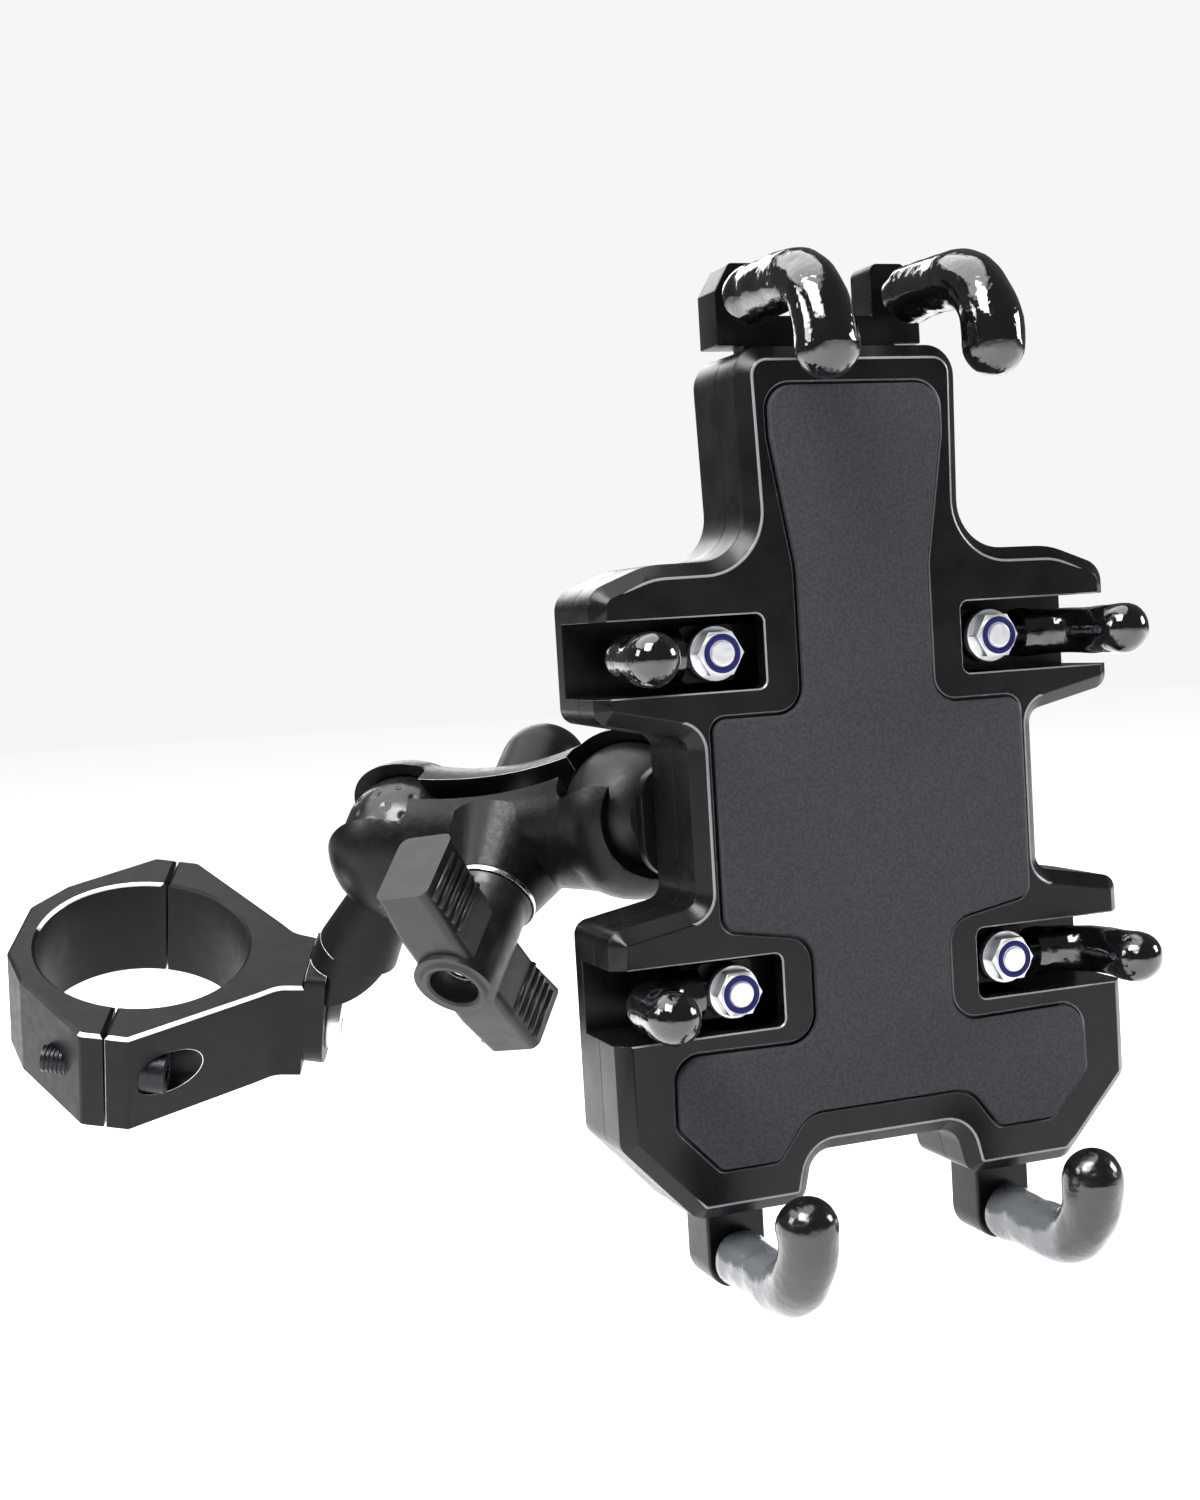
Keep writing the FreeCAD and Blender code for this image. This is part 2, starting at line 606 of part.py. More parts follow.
def slot_rectangles():
    """Each side slot's rectangle: x and z limits, open at the cradle's sides."""
    inner = dim("slot_inner")
    half = dim("slot_height") / 2
    rectangles = []
    for level in (dim("upper_slot_z"), dim("lower_slot_z")):
        rectangles.append((inner, 60.0, level - half, level + half))
        rectangles.append((-60.0, -inner, level - half, level + half))
    return rectangles


def back_pad(body, curves, front, length):
    """Material from a depth behind the front plane towards the back."""
    return pad(body, sketch_on(body, "XZ_Plane", curves, -front), length, backwards=True)


def back_pocket(body, curves, front, length):
    """A pocket from a depth behind the front plane towards the back."""
    return pocket(body, sketch_on(body, "XZ_Plane", curves, -front), length)


def cut_slots(body, front, length):
    """Cuts the four side slots."""
    for x_low, x_high, z_low, z_high in slot_rectangles():
        back_pocket(body, rectangle(x_low, x_high, z_low, z_high, 1.4), front, length)


def cavity_outline():
    """The hollow behind the pad, where the sliders and the pinion run."""
    return both_sides([(16.6, 66.0, 2.0), (16.6, 31.0, 2.0), (28.5, 31.0, 2.0), (28.5, -46.5, 2.0)])


def build_shells():
    front = new_body("front_shell", cradle_frame)
    back_pad(front, rounded_outline(shell_outline()), 0.0, bound("seam_depth"))
    bevel_front(front)
    cut_slots(front, 0.0, bound("seam_depth"))
    back_pocket(front, rounded_outline(cavity_outline()), dim("shell_wall") + 1.0,
                bound("seam_depth"))
    back_pocket(front, pad_outline(0.5), 0.0, "Dimensions.pad_depth - Dimensions.pad_proud")
    seam = dim("seam_depth")
    hollow = "Dimensions.slot_floor - Dimensions.seam_depth + 0.2"
    rear = new_body("rear_shell", cradle_frame)
    back_pad(rear, rounded_outline(shell_outline()), seam, "Dimensions.shell_depth - Dimensions.seam_depth")
    cut_slots(rear, seam, hollow)
    back_pocket(rear, rounded_outline(cavity_outline()), seam, hollow)
    back_pocket(rear, rectangle(-14.6, 14.6, 60.0, 80.0), seam, hollow)
    back_pocket(rear, base_screw_holes(), dim("shell_depth") - 2.5, "2.5")
    cushion = new_body("front_pad", cradle_frame)
    back_pad(cushion, pad_outline(0), -dim("pad_proud"), bound("pad_depth"))
    doc.recompute()
    if abs(front.Shape.BoundBox.XLength - rear.Shape.BoundBox.XLength) > 0.01:
        raise RuntimeError("front_shell lost part of its outline: front_bevel is over its corners' radius")


def bevel_front(body):
    """Bevels the outer edge of a body's front face."""
    doc.recompute()
    base = body.Tip
    names = []
    for number, edge in enumerate(base.Shape.Edges, start=1):
        box = edge.BoundBox
        if box.YMax < 1e-4:
            names.append("Edge%d" % number)
    feature = body.newObject("PartDesign::Chamfer", body.Name + "_bevel")
    feature.Base = (base, names)
    feature.setExpression("Size", "Dimensions.front_bevel")
    return feature


BASE_SCREW_X = -9.0


def base_screw_levels():
    """Heights of the two screws through the base plate."""
    return (upper_ball_local.z + 9.5, upper_ball_local.z - 9.5)


def base_screw_holes():
    """Holes for the base plate's screws."""
    upper, lower = base_screw_levels()
    return circle(BASE_SCREW_X, upper, 1.6) + circle(BASE_SCREW_X, lower, 1.6)


def build_cradle_ball():
    """The base plate on the rear shell, with its ball and screws."""
    x, y, z = upper_ball_local
    back = dim("shell_depth")
    plate = new_body("base_plate", cradle_frame)
    left = x - dim("upper_foot_radius") - 0.2
    right = BASE_SCREW_X + 5.0
    outline = [(left, z - 7.5, 6.0), (x + 8.0, z - 14.5, 4.0), (right, z - 14.5, 4.0),
               (right, z + 14.5, 4.0), (x + 8.0, z + 14.5, 4.0), (left, z + 7.5, 6.0)]
    back_pad(plate, rounded_outline(outline), back, bound("base_thickness"))
    back_pocket(plate, base_screw_holes(), back, bound("base_thickness"))
    stem = y - back - dim("base_thickness")
    forwards = Vector(0, -1, 0)
    ball_on_stem("upper_ball", upper_ball_local, forwards, stem, dim("upper_foot_radius"), cradle_frame)
    ball_cover("upper_ball_cover", upper_ball_local, forwards, dim("upper_mouth"), cradle_frame)
    for label, level in zip(("base_screw_upper", "base_screw_lower"), base_screw_levels()):
        cap_screw = Vector(BASE_SCREW_X, back - 2.4, level)
        hex_screw(label, "1.5", 5.4, "2.9", 1.8, cap_screw, Vector(0, 1, 0), cradle_frame)


# ---------------------------------------------------------------- sliders

RACK_TEETH = 18


def rack_outline(x_low, x_high, back_level, tip_side):
    """A rack's outline: its teeth point along tip_side in Z, towards the pinion."""
    module = 2 * dim("pinion_radius") / RACK_TEETH
    pitch = math.pi * module
    pitch_level = dim("pinion_z") - tip_side * dim("pinion_radius")
    slope = math.tan(math.radians(20))
    tip = pitch_level + tip_side * module * 0.85
    root = pitch_level - tip_side * module * 1.2
    half_at_pitch = pitch / 4 - 0.12
    half_tip = half_at_pitch - slope * module * 0.85
    half_root = half_at_pitch + slope * module * 1.2
    points = [(x_low, back_level, 0), (x_low, root, 0)]
    first = math.ceil((x_low + 1.6) / pitch - 0.5)
    last = math.floor((x_high - 1.6) / pitch - 0.5)
    for tooth in range(first, last + 1):
        centre = (tooth + 0.5) * pitch
        points += [(centre - half_root, root, 0), (centre - half_tip, tip, 0),
                   (centre + half_tip, tip, 0), (centre + half_root, root, 0)]
    points += [(x_high, root, 0), (x_high, back_level, 0)]
    return rounded_outline(points)


def pinion_outline():
    """Involute teeth round the pinion's axis, one of them pointing up."""
    radius = dim("pinion_radius")
    module = 2 * radius / RACK_TEETH
    pressure = math.radians(20)
    base = radius * math.cos(pressure)
    root = radius - 1.25 * module
    outer = radius + 0.85 * module
    half_at_pitch = math.pi / (2 * RACK_TEETH) - 0.12 / radius
    flank = []
    for step in range(5):
        level = base + (outer - base) * step / 4
        angle = math.acos(base / level)
        spread = half_at_pitch + (math.tan(pressure) - pressure) - (math.tan(angle) - angle)
        flank.append((level, spread))
    points = []
    for tooth in range(RACK_TEETH):
        middle = math.pi / 2 - tooth * 2 * math.pi / RACK_TEETH
        turns = [(root, flank[0][1] + 0.01)] + flank
        for level, spread in turns:
            points.append((level * math.cos(middle + spread), level * math.sin(middle + spread), 0))
        for level, spread in reversed(turns):
            points.append((level * math.cos(middle - spread), level * math.sin(middle - spread), 0))
    return rounded_outline(points)


def build_side_slider(name, side):
    """One side slider: link, two arms, their carriages and the rack."""
    body = new_body("side_slider_" + name, cradle_frame)
    back = dim("carriage_back")
    layer = dim("rack_back") + 0.4
    upper = dim("upper_slot_z")
    lower = dim("lower_slot_z")
    nut = dim("nut_x")
    link = [(8.0, upper + 4.6, 1), (30.2, upper + 4.6, 1), (30.2, upper - 4.6, 1), (13.5, upper - 4.6, 2),
            (13.5, lower + 4.6, 2), (30.2, lower + 4.6, 1), (30.2, lower - 4.6, 1), (8.0, lower - 4.6, 1)]
    link = [(side * x, z, radius) for x, z, radius in link]
    back_pad(body, rounded_outline(link), layer, "Dimensions.carriage_back - %s" % layer)
    for level in (upper, lower):
        ends = sorted((side * (nut - 4.6), side * 30.2))
        back_pad(body, rectangle(ends[0], ends[1], level - 4.6, level + 4.6, 1.0), 6.4,
                 "Dimensions.carriage_back - 6.4")
    tip_side = side
    pitch_level = dim("pinion_z") - tip_side * dim("pinion_radius")
    back_level = pitch_level - tip_side * 4.2
    ends = sorted((side * 13.5, side * -19.0))
    front = dim("rack_front")
    back_pad(body, rack_outline(ends[0], ends[1], back_level, tip_side), front,
             "Dimensions.rack_back - Dimensions.rack_front")
    ends = sorted((side * 8.0, side * 13.5))
    levels = sorted((back_level, pitch_level - tip_side * 1.0))
    back_pad(body, rectangle(ends[0], ends[1], levels[0], levels[1]), front,
             "Dimensions.carriage_back - Dimensions.rack_front")
    for level in (upper, lower):
        back_pocket(body, circle(side * nut, level, 2.05), 5.0, bound("carriage_back"))
        back_pocket(body, circle(side * nut, level, 3.7), 12.0, bound("carriage_back"))
    return body


def build_pinion():
    pinion = new_body("pinion", Placement(
        cradle_frame.multVec(Vector(0, 0, dim("pinion_z"))), Rotation()))
    back_pad(pinion, pinion_outline(), dim("rack_front"), "Dimensions.rack_back - Dimensions.rack_front")
    back_pocket(pinion, circle(0, 0, 1.55), 0.0, bound("shell_depth"))
    cylinder("pinion_axle", "1.5", "Dimensions.slot_floor + 0.2 - Dimensions.rack_front + 1.0",
             Vector(0, dim("rack_front") - 1.0, dim("pinion_z")), Vector(0, 1, 0))
    axle = doc.getObject("pinion_axle")
    flange = cylinder("axle_collar", "3.2", "Dimensions.slot_floor - Dimensions.rack_back - 0.2",
                      Vector(0, dim("rack_back") + 0.3, dim("pinion_z")), Vector(0, 1, 0))
    fused("pinion_pin", [axle, flange], cradle_frame)


def build_top_slider():
    body = new_body("top_slider", cradle_frame)
    layer = dim("rack_back") + 0.4
    stem = [(-14.0, 36.0, 2), (14.0, 36.0, 2), (14.0, 76.0, 1), (-14.0, 76.0, 1)]
    back_pad(body, rounded_outline(stem), layer, "Dimensions.carriage_back - %s" % layer)
    for side in (-1, 1):
        x = side * dim("top_claw_x")
        prong = [(x - side * 4.6, 71.2, 0), (x + side * 4.4, 71.2, 0), (x + side * 4.4, 80.0, 0),
                 (x + side * 1.6, 84.6, 1), (x - side * 4.6, 84.6, 1.5)]
        back_pad(body, rounded_outline(prong), layer, "7.2")
        back_pocket(body, circle(x, dim("end_claw_z"), dim("rod_radius")), layer, "5.0")
    return body


def build_bottom_lugs():
    for name, side in (("left", -1), ("right", 1)):
        x = side * dim("bottom_claw_x")
        body = new_body("bottom_lug_" + name, cradle_frame)
        lug = [(x - 5.2, -69.6, 0), (x + 5.2, -69.6, 0), (x + 5.2, -83.8, 4.6), (x - 5.2, -83.8, 4.6)]
        back_pad(body, rounded_outline(lug), 8.0, "9.0")
        back_pocket(body, circle(x, -dim("end_claw_z"), dim("rod_radius")), 8.0, "5.0")


# ---------------------------------------------------------------- claws

def claw(points, bend, radius, sleeve_start):
    """A bent steel rod and the rubber sleeve over all but its root."""
    direction = (points[1] - points[0]).normalize()
    sleeve_points = [points[0] + direction * sleeve_start] + points[1:]
    sleeve = round_bar(sleeve_points, bend, radius)
    sleeve = sleeve.fuse(Part.makeSphere(radius, points[-1]))
    short_points = points[:-1] + [points[-1] - (points[-1] - points[-2]).normalize() * 1.0]
    rod = round_bar(short_points, bend, dim("rod_radius"))
    return rod, sleeve.cut(rod)


def build_end_claws():
    y_tip = dim("end_claw_y")
    bend = dim("end_claw_bend")
    for end, x_claw, sign in (("top", dim("top_claw_x"), 1), ("bottom", dim("bottom_claw_x"), -1)):
        level = sign * dim("end_claw_z")
        tip = sign * dim("claw_tip_z")
        root = dim("rack_back") + 0.4 + 4.8 if end == "top" else 12.8
        for name, side in (("left", -1), ("right", 1)):
            x = side * x_claw
            points = [Vector(x, root, level), Vector(x, y_tip, level), Vector(x, y_tip, tip)]
            rod, sleeve = claw(points, bend, dim("end_sleeve_radius"), root - 6.5)
            shape_node("%s_rod_%s" % (end, name), rod, cradle_frame)
            shape_node("%s_sleeve_%s" % (end, name), sleeve, cradle_frame)


def build_side_claws():
    nut = dim("nut_x")
    for height, level in (("upper", dim("upper_slot_z")), ("lower", dim("lower_slot_z"))):
        for name, side in (("left", -1), ("right", 1)):
            tail = "%s_%s" % (height, name)
            tip_x = side * dim("side_tip_x")
            middle_y = 5.3
            points = [Vector(side * (nut + 2.0), middle_y, level), Vector(tip_x, middle_y, level),
                      Vector(tip_x, -11.0, level)]
            rod, sleeve = claw(points, dim("side_claw_bend"), dim("side_sleeve_radius"), 3.9)
            eye = Part.makeCylinder(4.5, 1.9, Vector(side * nut, 4.4, level), Vector(0, 1, 0))
            way = Part.makeCylinder(2.02, 10, Vector(side * nut, 0, level), Vector(0, 1, 0))
            rod = rod.fuse(eye).cut(way)
            front_half = Part.makeBox(6.6, 10, 10, Vector(side * nut - 3.3 + side * 1.5, 6.35, level - 5))
            nose = Part.makeBox(8.0, 10, 10, Vector(side * nut - 4.0 + side * 0.9, 4.4 - 10, level - 5))
            rod = rod.cut(front_half).cut(nose)
            shape_node("side_rod_" + tail, rod, cradle_frame)
            shape_node("side_sleeve_" + tail, sleeve, cradle_frame)
            claw_fasteners(tail, side * nut, level)


def claw_fasteners(tail, x, level):
    """The bolt through a carriage and its flanged lock nut on the front."""
    front = 0.2
    bolt = cylinder("bolt_shank_" + tail, "2.0", "12.4", Vector(x, front, level), Vector(0, 1, 0))
    head = cylinder("bolt_head_" + tail, "3.5", "2.2", Vector(x, 12.1, level), Vector(0, 1, 0))
    fused("claw_bolt_" + tail, [bolt, head], cradle_frame)
    flange = cylinder("nut_flange_" + tail, "4.4", "1.1", Vector(x, 3.3, level), Vector(0, 1, 0))
    hexagon = doc.addObject("Part::Prism", "nut_hexagon_" + tail)
    hexagon.Polygon = 6
    hexagon.setExpression("Circumradius", "4.0")
    hexagon.setExpression("Height", "2.4")
    hexagon.Placement = Placement(Vector(x, 1.0, level), Rotation(Vector(0, 0, 1), Vector(0, 1, 0)))
    crown = cylinder("nut_crown_" + tail, "3.3", "0.6", Vector(x, 0.5, level), Vector(0, 1, 0))
    whole = merged("nut_whole_" + tail, [flange, hexagon, crown])
    way = cylinder("nut_way_" + tail, "2.02", "10", Vector(x, -1.0, level), Vector(0, 1, 0))
    cut_node("claw_nut_" + tail, whole, way, cradle_frame)


# ---------------------------------------------------------------- build and write

build_ring()
build_clamp_screws()
build_bracket()
build_lower_ball()
build_arm()
build_knob()
build_shells()
build_cradle_ball()
for slider_name, slider_side in (("left", -1), ("right", 1)):
    build_side_slider(slider_name, slider_side)
build_pinion()
build_top_slider()
build_bottom_lugs()
build_end_claws()
build_side_claws()
doc.recompute()

for item in doc.Objects:
    if "Invalid" in item.State or "Error" in item.State:
        raise RuntimeError("%s failed: %s" % (item.Label, item.State))
os.makedirs("parts", exist_ok=True)
for node in nodes:
    shape = node.Shape
    if shape.isNull() or not shape.isValid() or len(shape.Solids) != 1:
        raise RuntimeError("%s is not one valid solid: %d" % (node.Label, len(shape.Solids)))
    shape.exportStep("parts/%s.step" % node.Label)
    size = (shape.BoundBox.XLength, shape.BoundBox.YLength, shape.BoundBox.ZLength)
    print("%-24s %9.1f mm3  %5.1f x %5.1f x %5.1f mm" % ((node.Label, shape.Volume) + size))
print("nodes:", len(nodes))
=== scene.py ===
import bmesh
import bpy
import json
import math
from bpy.props import FloatProperty, FloatVectorProperty, IntProperty, PointerProperty
from mathutils import Matrix, Vector, noise


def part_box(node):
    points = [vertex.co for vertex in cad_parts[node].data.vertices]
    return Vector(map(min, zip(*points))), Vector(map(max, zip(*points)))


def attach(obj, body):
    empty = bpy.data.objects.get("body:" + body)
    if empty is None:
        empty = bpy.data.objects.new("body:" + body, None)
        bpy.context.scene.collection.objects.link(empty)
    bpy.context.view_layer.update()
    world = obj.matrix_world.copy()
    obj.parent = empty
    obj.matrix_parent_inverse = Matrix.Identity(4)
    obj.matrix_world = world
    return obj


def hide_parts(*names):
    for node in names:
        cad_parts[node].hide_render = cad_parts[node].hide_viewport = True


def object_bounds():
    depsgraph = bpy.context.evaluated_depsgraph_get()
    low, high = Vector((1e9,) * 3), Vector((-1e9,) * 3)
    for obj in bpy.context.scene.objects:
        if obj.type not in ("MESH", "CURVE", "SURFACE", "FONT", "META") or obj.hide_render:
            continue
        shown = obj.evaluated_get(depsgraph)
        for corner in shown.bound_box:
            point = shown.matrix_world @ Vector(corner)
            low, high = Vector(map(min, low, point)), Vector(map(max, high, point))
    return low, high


bl_info = {
    "name": "Phone handlebar mount",
    "version": (1, 0, 0),
    "blender": (4, 5, 0),
    "location": "View3D > Sidebar > Phone mount",
    "description": "Finishes the packed parts of a phone mount: ring, ball arm, cradle and claws",
    "category": "Object",
}

MM = 0.001
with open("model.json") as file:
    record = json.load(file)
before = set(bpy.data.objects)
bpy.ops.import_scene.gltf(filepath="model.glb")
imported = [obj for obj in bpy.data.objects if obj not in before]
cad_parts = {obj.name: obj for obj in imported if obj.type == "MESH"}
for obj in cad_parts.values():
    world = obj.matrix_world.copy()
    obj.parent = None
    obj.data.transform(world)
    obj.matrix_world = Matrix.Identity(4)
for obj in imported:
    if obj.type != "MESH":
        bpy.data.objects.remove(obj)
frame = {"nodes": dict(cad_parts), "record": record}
cad_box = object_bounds()
record = frame["record"]
JOINTS = {joint["name"]: joint for joint in record["behaviour"]["joints"]}
MOUNTS = {mount["name"]: mount for mount in record["mounts"]}
BODY_OF = {node: body for body, nodes in record["behaviour"]["bodies"].items() for node in nodes}


def linear(code):
    """Turns an sRGB hex colour into linear red, green and blue."""
    channels = [int(code[place:place + 2], 16) / 255 for place in (1, 3, 5)]
    return tuple(c / 12.92 if c <= 0.04045 else ((c + 0.055) / 1.055) ** 2.4 for c in channels)


# ---------------------------------------------------------------- frames

def basis(origin, x_axis, y_axis, z_axis):
    """The matrix of a frame from its origin and its three unit axes."""
    matrix = Matrix((x_axis, y_axis, z_axis)).transposed().to_4x4()
    matrix.translation = origin
    return matrix


def clamp_matrix():
    """The ring's frame: origin at the bore's centre, X along the neck, Z along the bore."""
    along = Vector(MOUNTS["bar_clamp"]["axis"]).normalized()
    ball = Vector(JOINTS["lower_ball_turn"]["pos_m"])
    neck = (ball - along * ball.dot(along)).normalized()
    return basis(Vector(), neck, along.cross(neck), along)


def arm_matrix():
    """The arm's frame: origin at its middle, X towards the upper ball, Z along the knob."""
    knob = Vector(JOINTS["knob_turn"]["axis"]).normalized()
    lower = Vector(JOINTS["lower_ball_turn"]["pos_m"])
    upper = Vector(JOINTS["upper_ball_turn"]["pos_m"])
    along = (upper - lower).normalized()
    return basis((lower + upper) / 2, along, knob.cross(along), knob)


def cradle_matrix():
    """The cradle's frame: origin in the middle of the shell's front plane."""
    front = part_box("front_shell")[0].y
    middle = Vector(MOUNTS["phone_rest"]["pos_m"])
    return Matrix.Translation(Vector((middle.x, front, middle.z)))


CLAMP = clamp_matrix()
ARM = arm_matrix()
CRADLE = cradle_matrix()
BORE_RADIUS = 20.5 * MM
SCREW_OFFSET = 24.6 * MM
SEAT_RADIUS = 4.6 * MM
PLAIN_SLOT = 0
# Material slot of the near-white bevels that carry a painted highlight.
PAINTED_HIGHLIGHT_SLOT = 1
SMOOTH_CORNER = 32.0
NOISE_RANGE = (0.3, 0.7)
TINT_STOPS = (0.35, 0.65)
SCREW_THREAD = {"Radius": 2.4 * MM, "Height": 4.6 * MM, "Turns": 5.75, "Wire": 0.28 * MM}
INSERT_THREAD = {"Radius": 3.1 * MM, "Height": 9.0 * MM, "Turns": 9.0, "Wire": 0.3 * MM}
ARM_SPRING = {"Radius": 4.6 * MM, "Height": 10.5 * MM, "Turns": 6.5, "Wire": 0.6 * MM}
# Across and up from the cradle's middle, in millimetres, on both sides of it.
BACK_SCREWS = ((12.0, 60.0), (36.5, 31.4), (39.0, -52.0))
# Name, offset from the object's middle in metres, width in metres and watts.
SOFTBOXES = (("left softbox", (-0.85, 0.1, 0.45), 0.3, 4), ("right softbox", (0.95, -0.3, 0.3), 0.3, 6),
             ("top softbox", (-0.45, -0.4, 0.8), 0.5, 17), ("back softbox", (0.1, 0.95, 0.4), 0.5, 3))
CAMERA_PLACE_MM = (-46.5, -403.0, 66.3)
CAMERA_FORWARD = (0.34, 0.938, -0.062)
CAMERA_UP = (0.078, 0.038, 0.996)


# ---------------------------------------------------------------- nodes

def add(tree, kind, inputs=None, **settings):
    """Adds a node with its settings; an input is a value or another node's output."""
    node = tree.nodes.new(kind)
    for name, value in settings.items():
        setattr(node, name, value)
    for key, value in (inputs or {}).items():
        if isinstance(value, bpy.types.NodeSocket):
            tree.links.new(value, node.inputs[key])
        else:
            node.inputs[key].default_value = value
    return node


def surface(name, colour, roughness, metallic=0.0, specular=0.5, coat=0.0, coat_roughness=0.03):
    """A material with its uniform values on the shader's own sockets."""
    material = bpy.data.materials.new(name)
    material.use_nodes = True
    tree = material.node_tree
    shader = tree.nodes["Principled BSDF"]
    shader.inputs["Base Color"].default_value = (*colour, 1)
    shader.inputs["Roughness"].default_value = roughness
    shader.inputs["Metallic"].default_value = metallic
    shader.inputs["Specular IOR Level"].default_value = specular
    shader.inputs["Coat Weight"].default_value = coat
    shader.inputs["Coat Roughness"].default_value = coat_roughness
    return material


def pattern(tree, size_mm, detail=2.0):
    """Noise whose cells have a real size in millimetres."""
    place = add(tree, "ShaderNodeTexCoord").outputs["Object"]
    return add(tree, "ShaderNodeTexNoise", {"Vector": place, "Scale": 1 / (size_mm * MM),
                                            "Detail": detail}).outputs["Fac"]


def vary(material, size_mm, low, high):
    """Varies the roughness between two values over patches of a real size."""
    tree = material.node_tree
    spread = add(tree, "ShaderNodeMapRange", {
        "Value": pattern(tree, size_mm), "From Min": NOISE_RANGE[0], "From Max": NOISE_RANGE[1],
        "To Min": low, "To Max": high})
    tree.links.new(spread.outputs["Result"], tree.nodes["Principled BSDF"].inputs["Roughness"])


def tint(material, colour, spread, size_mm, detail=3.0):
    """Varies the base colour, darker and lighter by a share, over patches of a real size."""
    tree = material.node_tree
    ramp = add(tree, "ShaderNodeValToRGB", {"Fac": pattern(tree, size_mm, detail)})
    factors = (1 - spread, 1 + spread)
    for element, position, factor in zip(ramp.color_ramp.elements, TINT_STOPS, factors):
        element.position = position
        element.color = (*(channel * factor for channel in colour), 1)
    tree.links.new(ramp.outputs["Color"], tree.nodes["Principled BSDF"].inputs["Base Color"])


def roughen(material, layers):
    """Bump from layers of noise, each a cell size and a height in millimetres."""
    tree = material.node_tree
    normal = None
    for size_mm, height_mm in layers:
        inputs = {"Height": pattern(tree, size_mm), "Distance": height_mm * MM, "Strength": 1.0}
        if normal:
            inputs["Normal"] = normal
        normal = add(tree, "ShaderNodeBump", inputs).outputs["Normal"]
    tree.links.new(normal, tree.nodes["Principled BSDF"].inputs["Normal"])


def make_materials(look):
    """Every finish of the mount, named for what the real one is."""
    made = {}

    def make(key, name, colour, roughness, tones=None, gloss=None, grain=None, **options):
        """One finish, with how its colour, its roughness and its relief vary."""
        material = surface(name, colour, roughness, **options)
        if tones:
            tint(material, colour, *tones)
        if gloss:
            vary(material, *gloss)
        if grain:
            roughen(material, grain)
        made[key] = material
        return material

    # Bead-blasted, black anodised aluminium: nearly black, with a dull sheen.
    make("anodised", "black anodised aluminium", look.ring_colour, 0.42, metallic=0.2, specular=0.2,
         tones=(0.25, 5.0), gloss=(2.0, 0.38, 0.48), grain=((0.35, 0.012),))

    # Near-white bevels on chosen edges: painted highlight, standing in for the gleam of diamond cutting
    # where light catches an edge. Its feed lines are too fine to show, so only its gloss is uneven.
    make("edge_highlight", "painted edge highlight", linear("#fdfdfe"), 0.4, metallic=0.3, specular=0.8,
         gloss=(0.4, 0.34, 0.46))

    # Die-cast arm with fine powder coat: satin black with an orange-peel grain.
    make("arm", "powder coated casting", look.arm_colour, 0.34, specular=0.2,
         tones=(0.3, 4.0), gloss=(1.2, 0.3, 0.42), grain=((0.6, 0.03), (0.22, 0.008)))

    # Moulded nylon knob: slightly lighter satin black, a little glossier where fingers polish it.
    make("knob", "moulded nylon", look.knob_colour, 0.34, specular=0.45,
         tones=(0.12, 3.0), gloss=(3.0, 0.3, 0.46), grain=((0.4, 0.012),))

    # Moulded ABS shells, spark-eroded finish: satin black with a soft sheen.
    make("shell", "moulded abs", look.shell_colour, 0.3, specular=0.22,
         tones=(0.18, 12.0), gloss=(6.0, 0.24, 0.34), grain=((0.5, 0.010),))

    # The thin lip round the slots and the pad's groove: its pale grey on the black shell is a painted
    # highlight.
    make("lip", "abs lip painted highlight", linear("#77797d"), 0.22, gloss=(2.0, 0.16, 0.28))

    # Thermoplastic rubber pad: dark grey and dull, with a fine pebbled grain.
    make("pad", "rubber pad", look.pad_colour, 0.72, specular=0.25,
         tones=(0.25, 0.5, 2.0), grain=((0.45, 0.04),))

    # Acetal sliders and pinion inside the cradle: plain black, low sheen.
    make("acetal", "black acetal", linear("#08080a"), 0.42, specular=0.3,
         gloss=(3.0, 0.36, 0.5), grain=((0.4, 0.01),))

    # Dipped vinyl on the claws: wet-looking black with lumps where it ran before it set.
    make("vinyl", "dipped vinyl", look.vinyl_colour, 0.06, coat=1.0, coat_roughness=0.03,
         gloss=(4.0, 0.04, 0.12), grain=((3.2, 0.45), (1.1, 0.05)))

    # The lower claws' vinyl is grey along its length, a painted reflection of the pale studio, and stays
    # black at the tips.
    reflecting = make("reflection_vinyl", "vinyl with painted grey reflection", look.reflection_colour, 0.22, coat=0.6, coat_roughness=0.1,
                grain=((3.2, 0.4), (1.1, 0.05)))
    tree = reflecting.node_tree
    # The painted grey reflection fades in a set way back from the tips.
    depth = add(tree, "ShaderNodeSeparateXYZ",
                {"Vector": add(tree, "ShaderNodeTexCoord").outputs["Object"]}).outputs["Y"]
    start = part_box("bottom_sleeve_left")[0].y + look.reflection_start
    fade_length = 3 * MM
    fade = add(tree, "ShaderNodeMapRange", {"Value": depth, "From Min": start,
                                            "From Max": start + fade_length,
                                            "To Min": 0, "To Max": 1})
    ramp = add(tree, "ShaderNodeValToRGB", {"Fac": fade.outputs["Result"]})
    for element, colour in zip(ramp.color_ramp.elements, (look.vinyl_colour, look.reflection_colour)):
        element.color = (*colour, 1)
    tree.links.new(ramp.outputs["Color"], tree.nodes["Principled BSDF"].inputs["Base Color"])

    # Moulded rubber skin of the lower ball: glossy and dark.
    make("ball", "moulded ball rubber", linear("#161618"), 0.26,
         gloss=(2.5, 0.2, 0.34), grain=((0.5, 0.01),))

    # The upper ball's skin is the same rubber without the dimples, scuffed dull by the arm.
    make("scuffed_ball", "scuffed ball rubber", linear("#0e0e10"), 0.42, specular=0.35,
         gloss=(1.5, 0.36, 0.5), grain=((0.5, 0.012),))

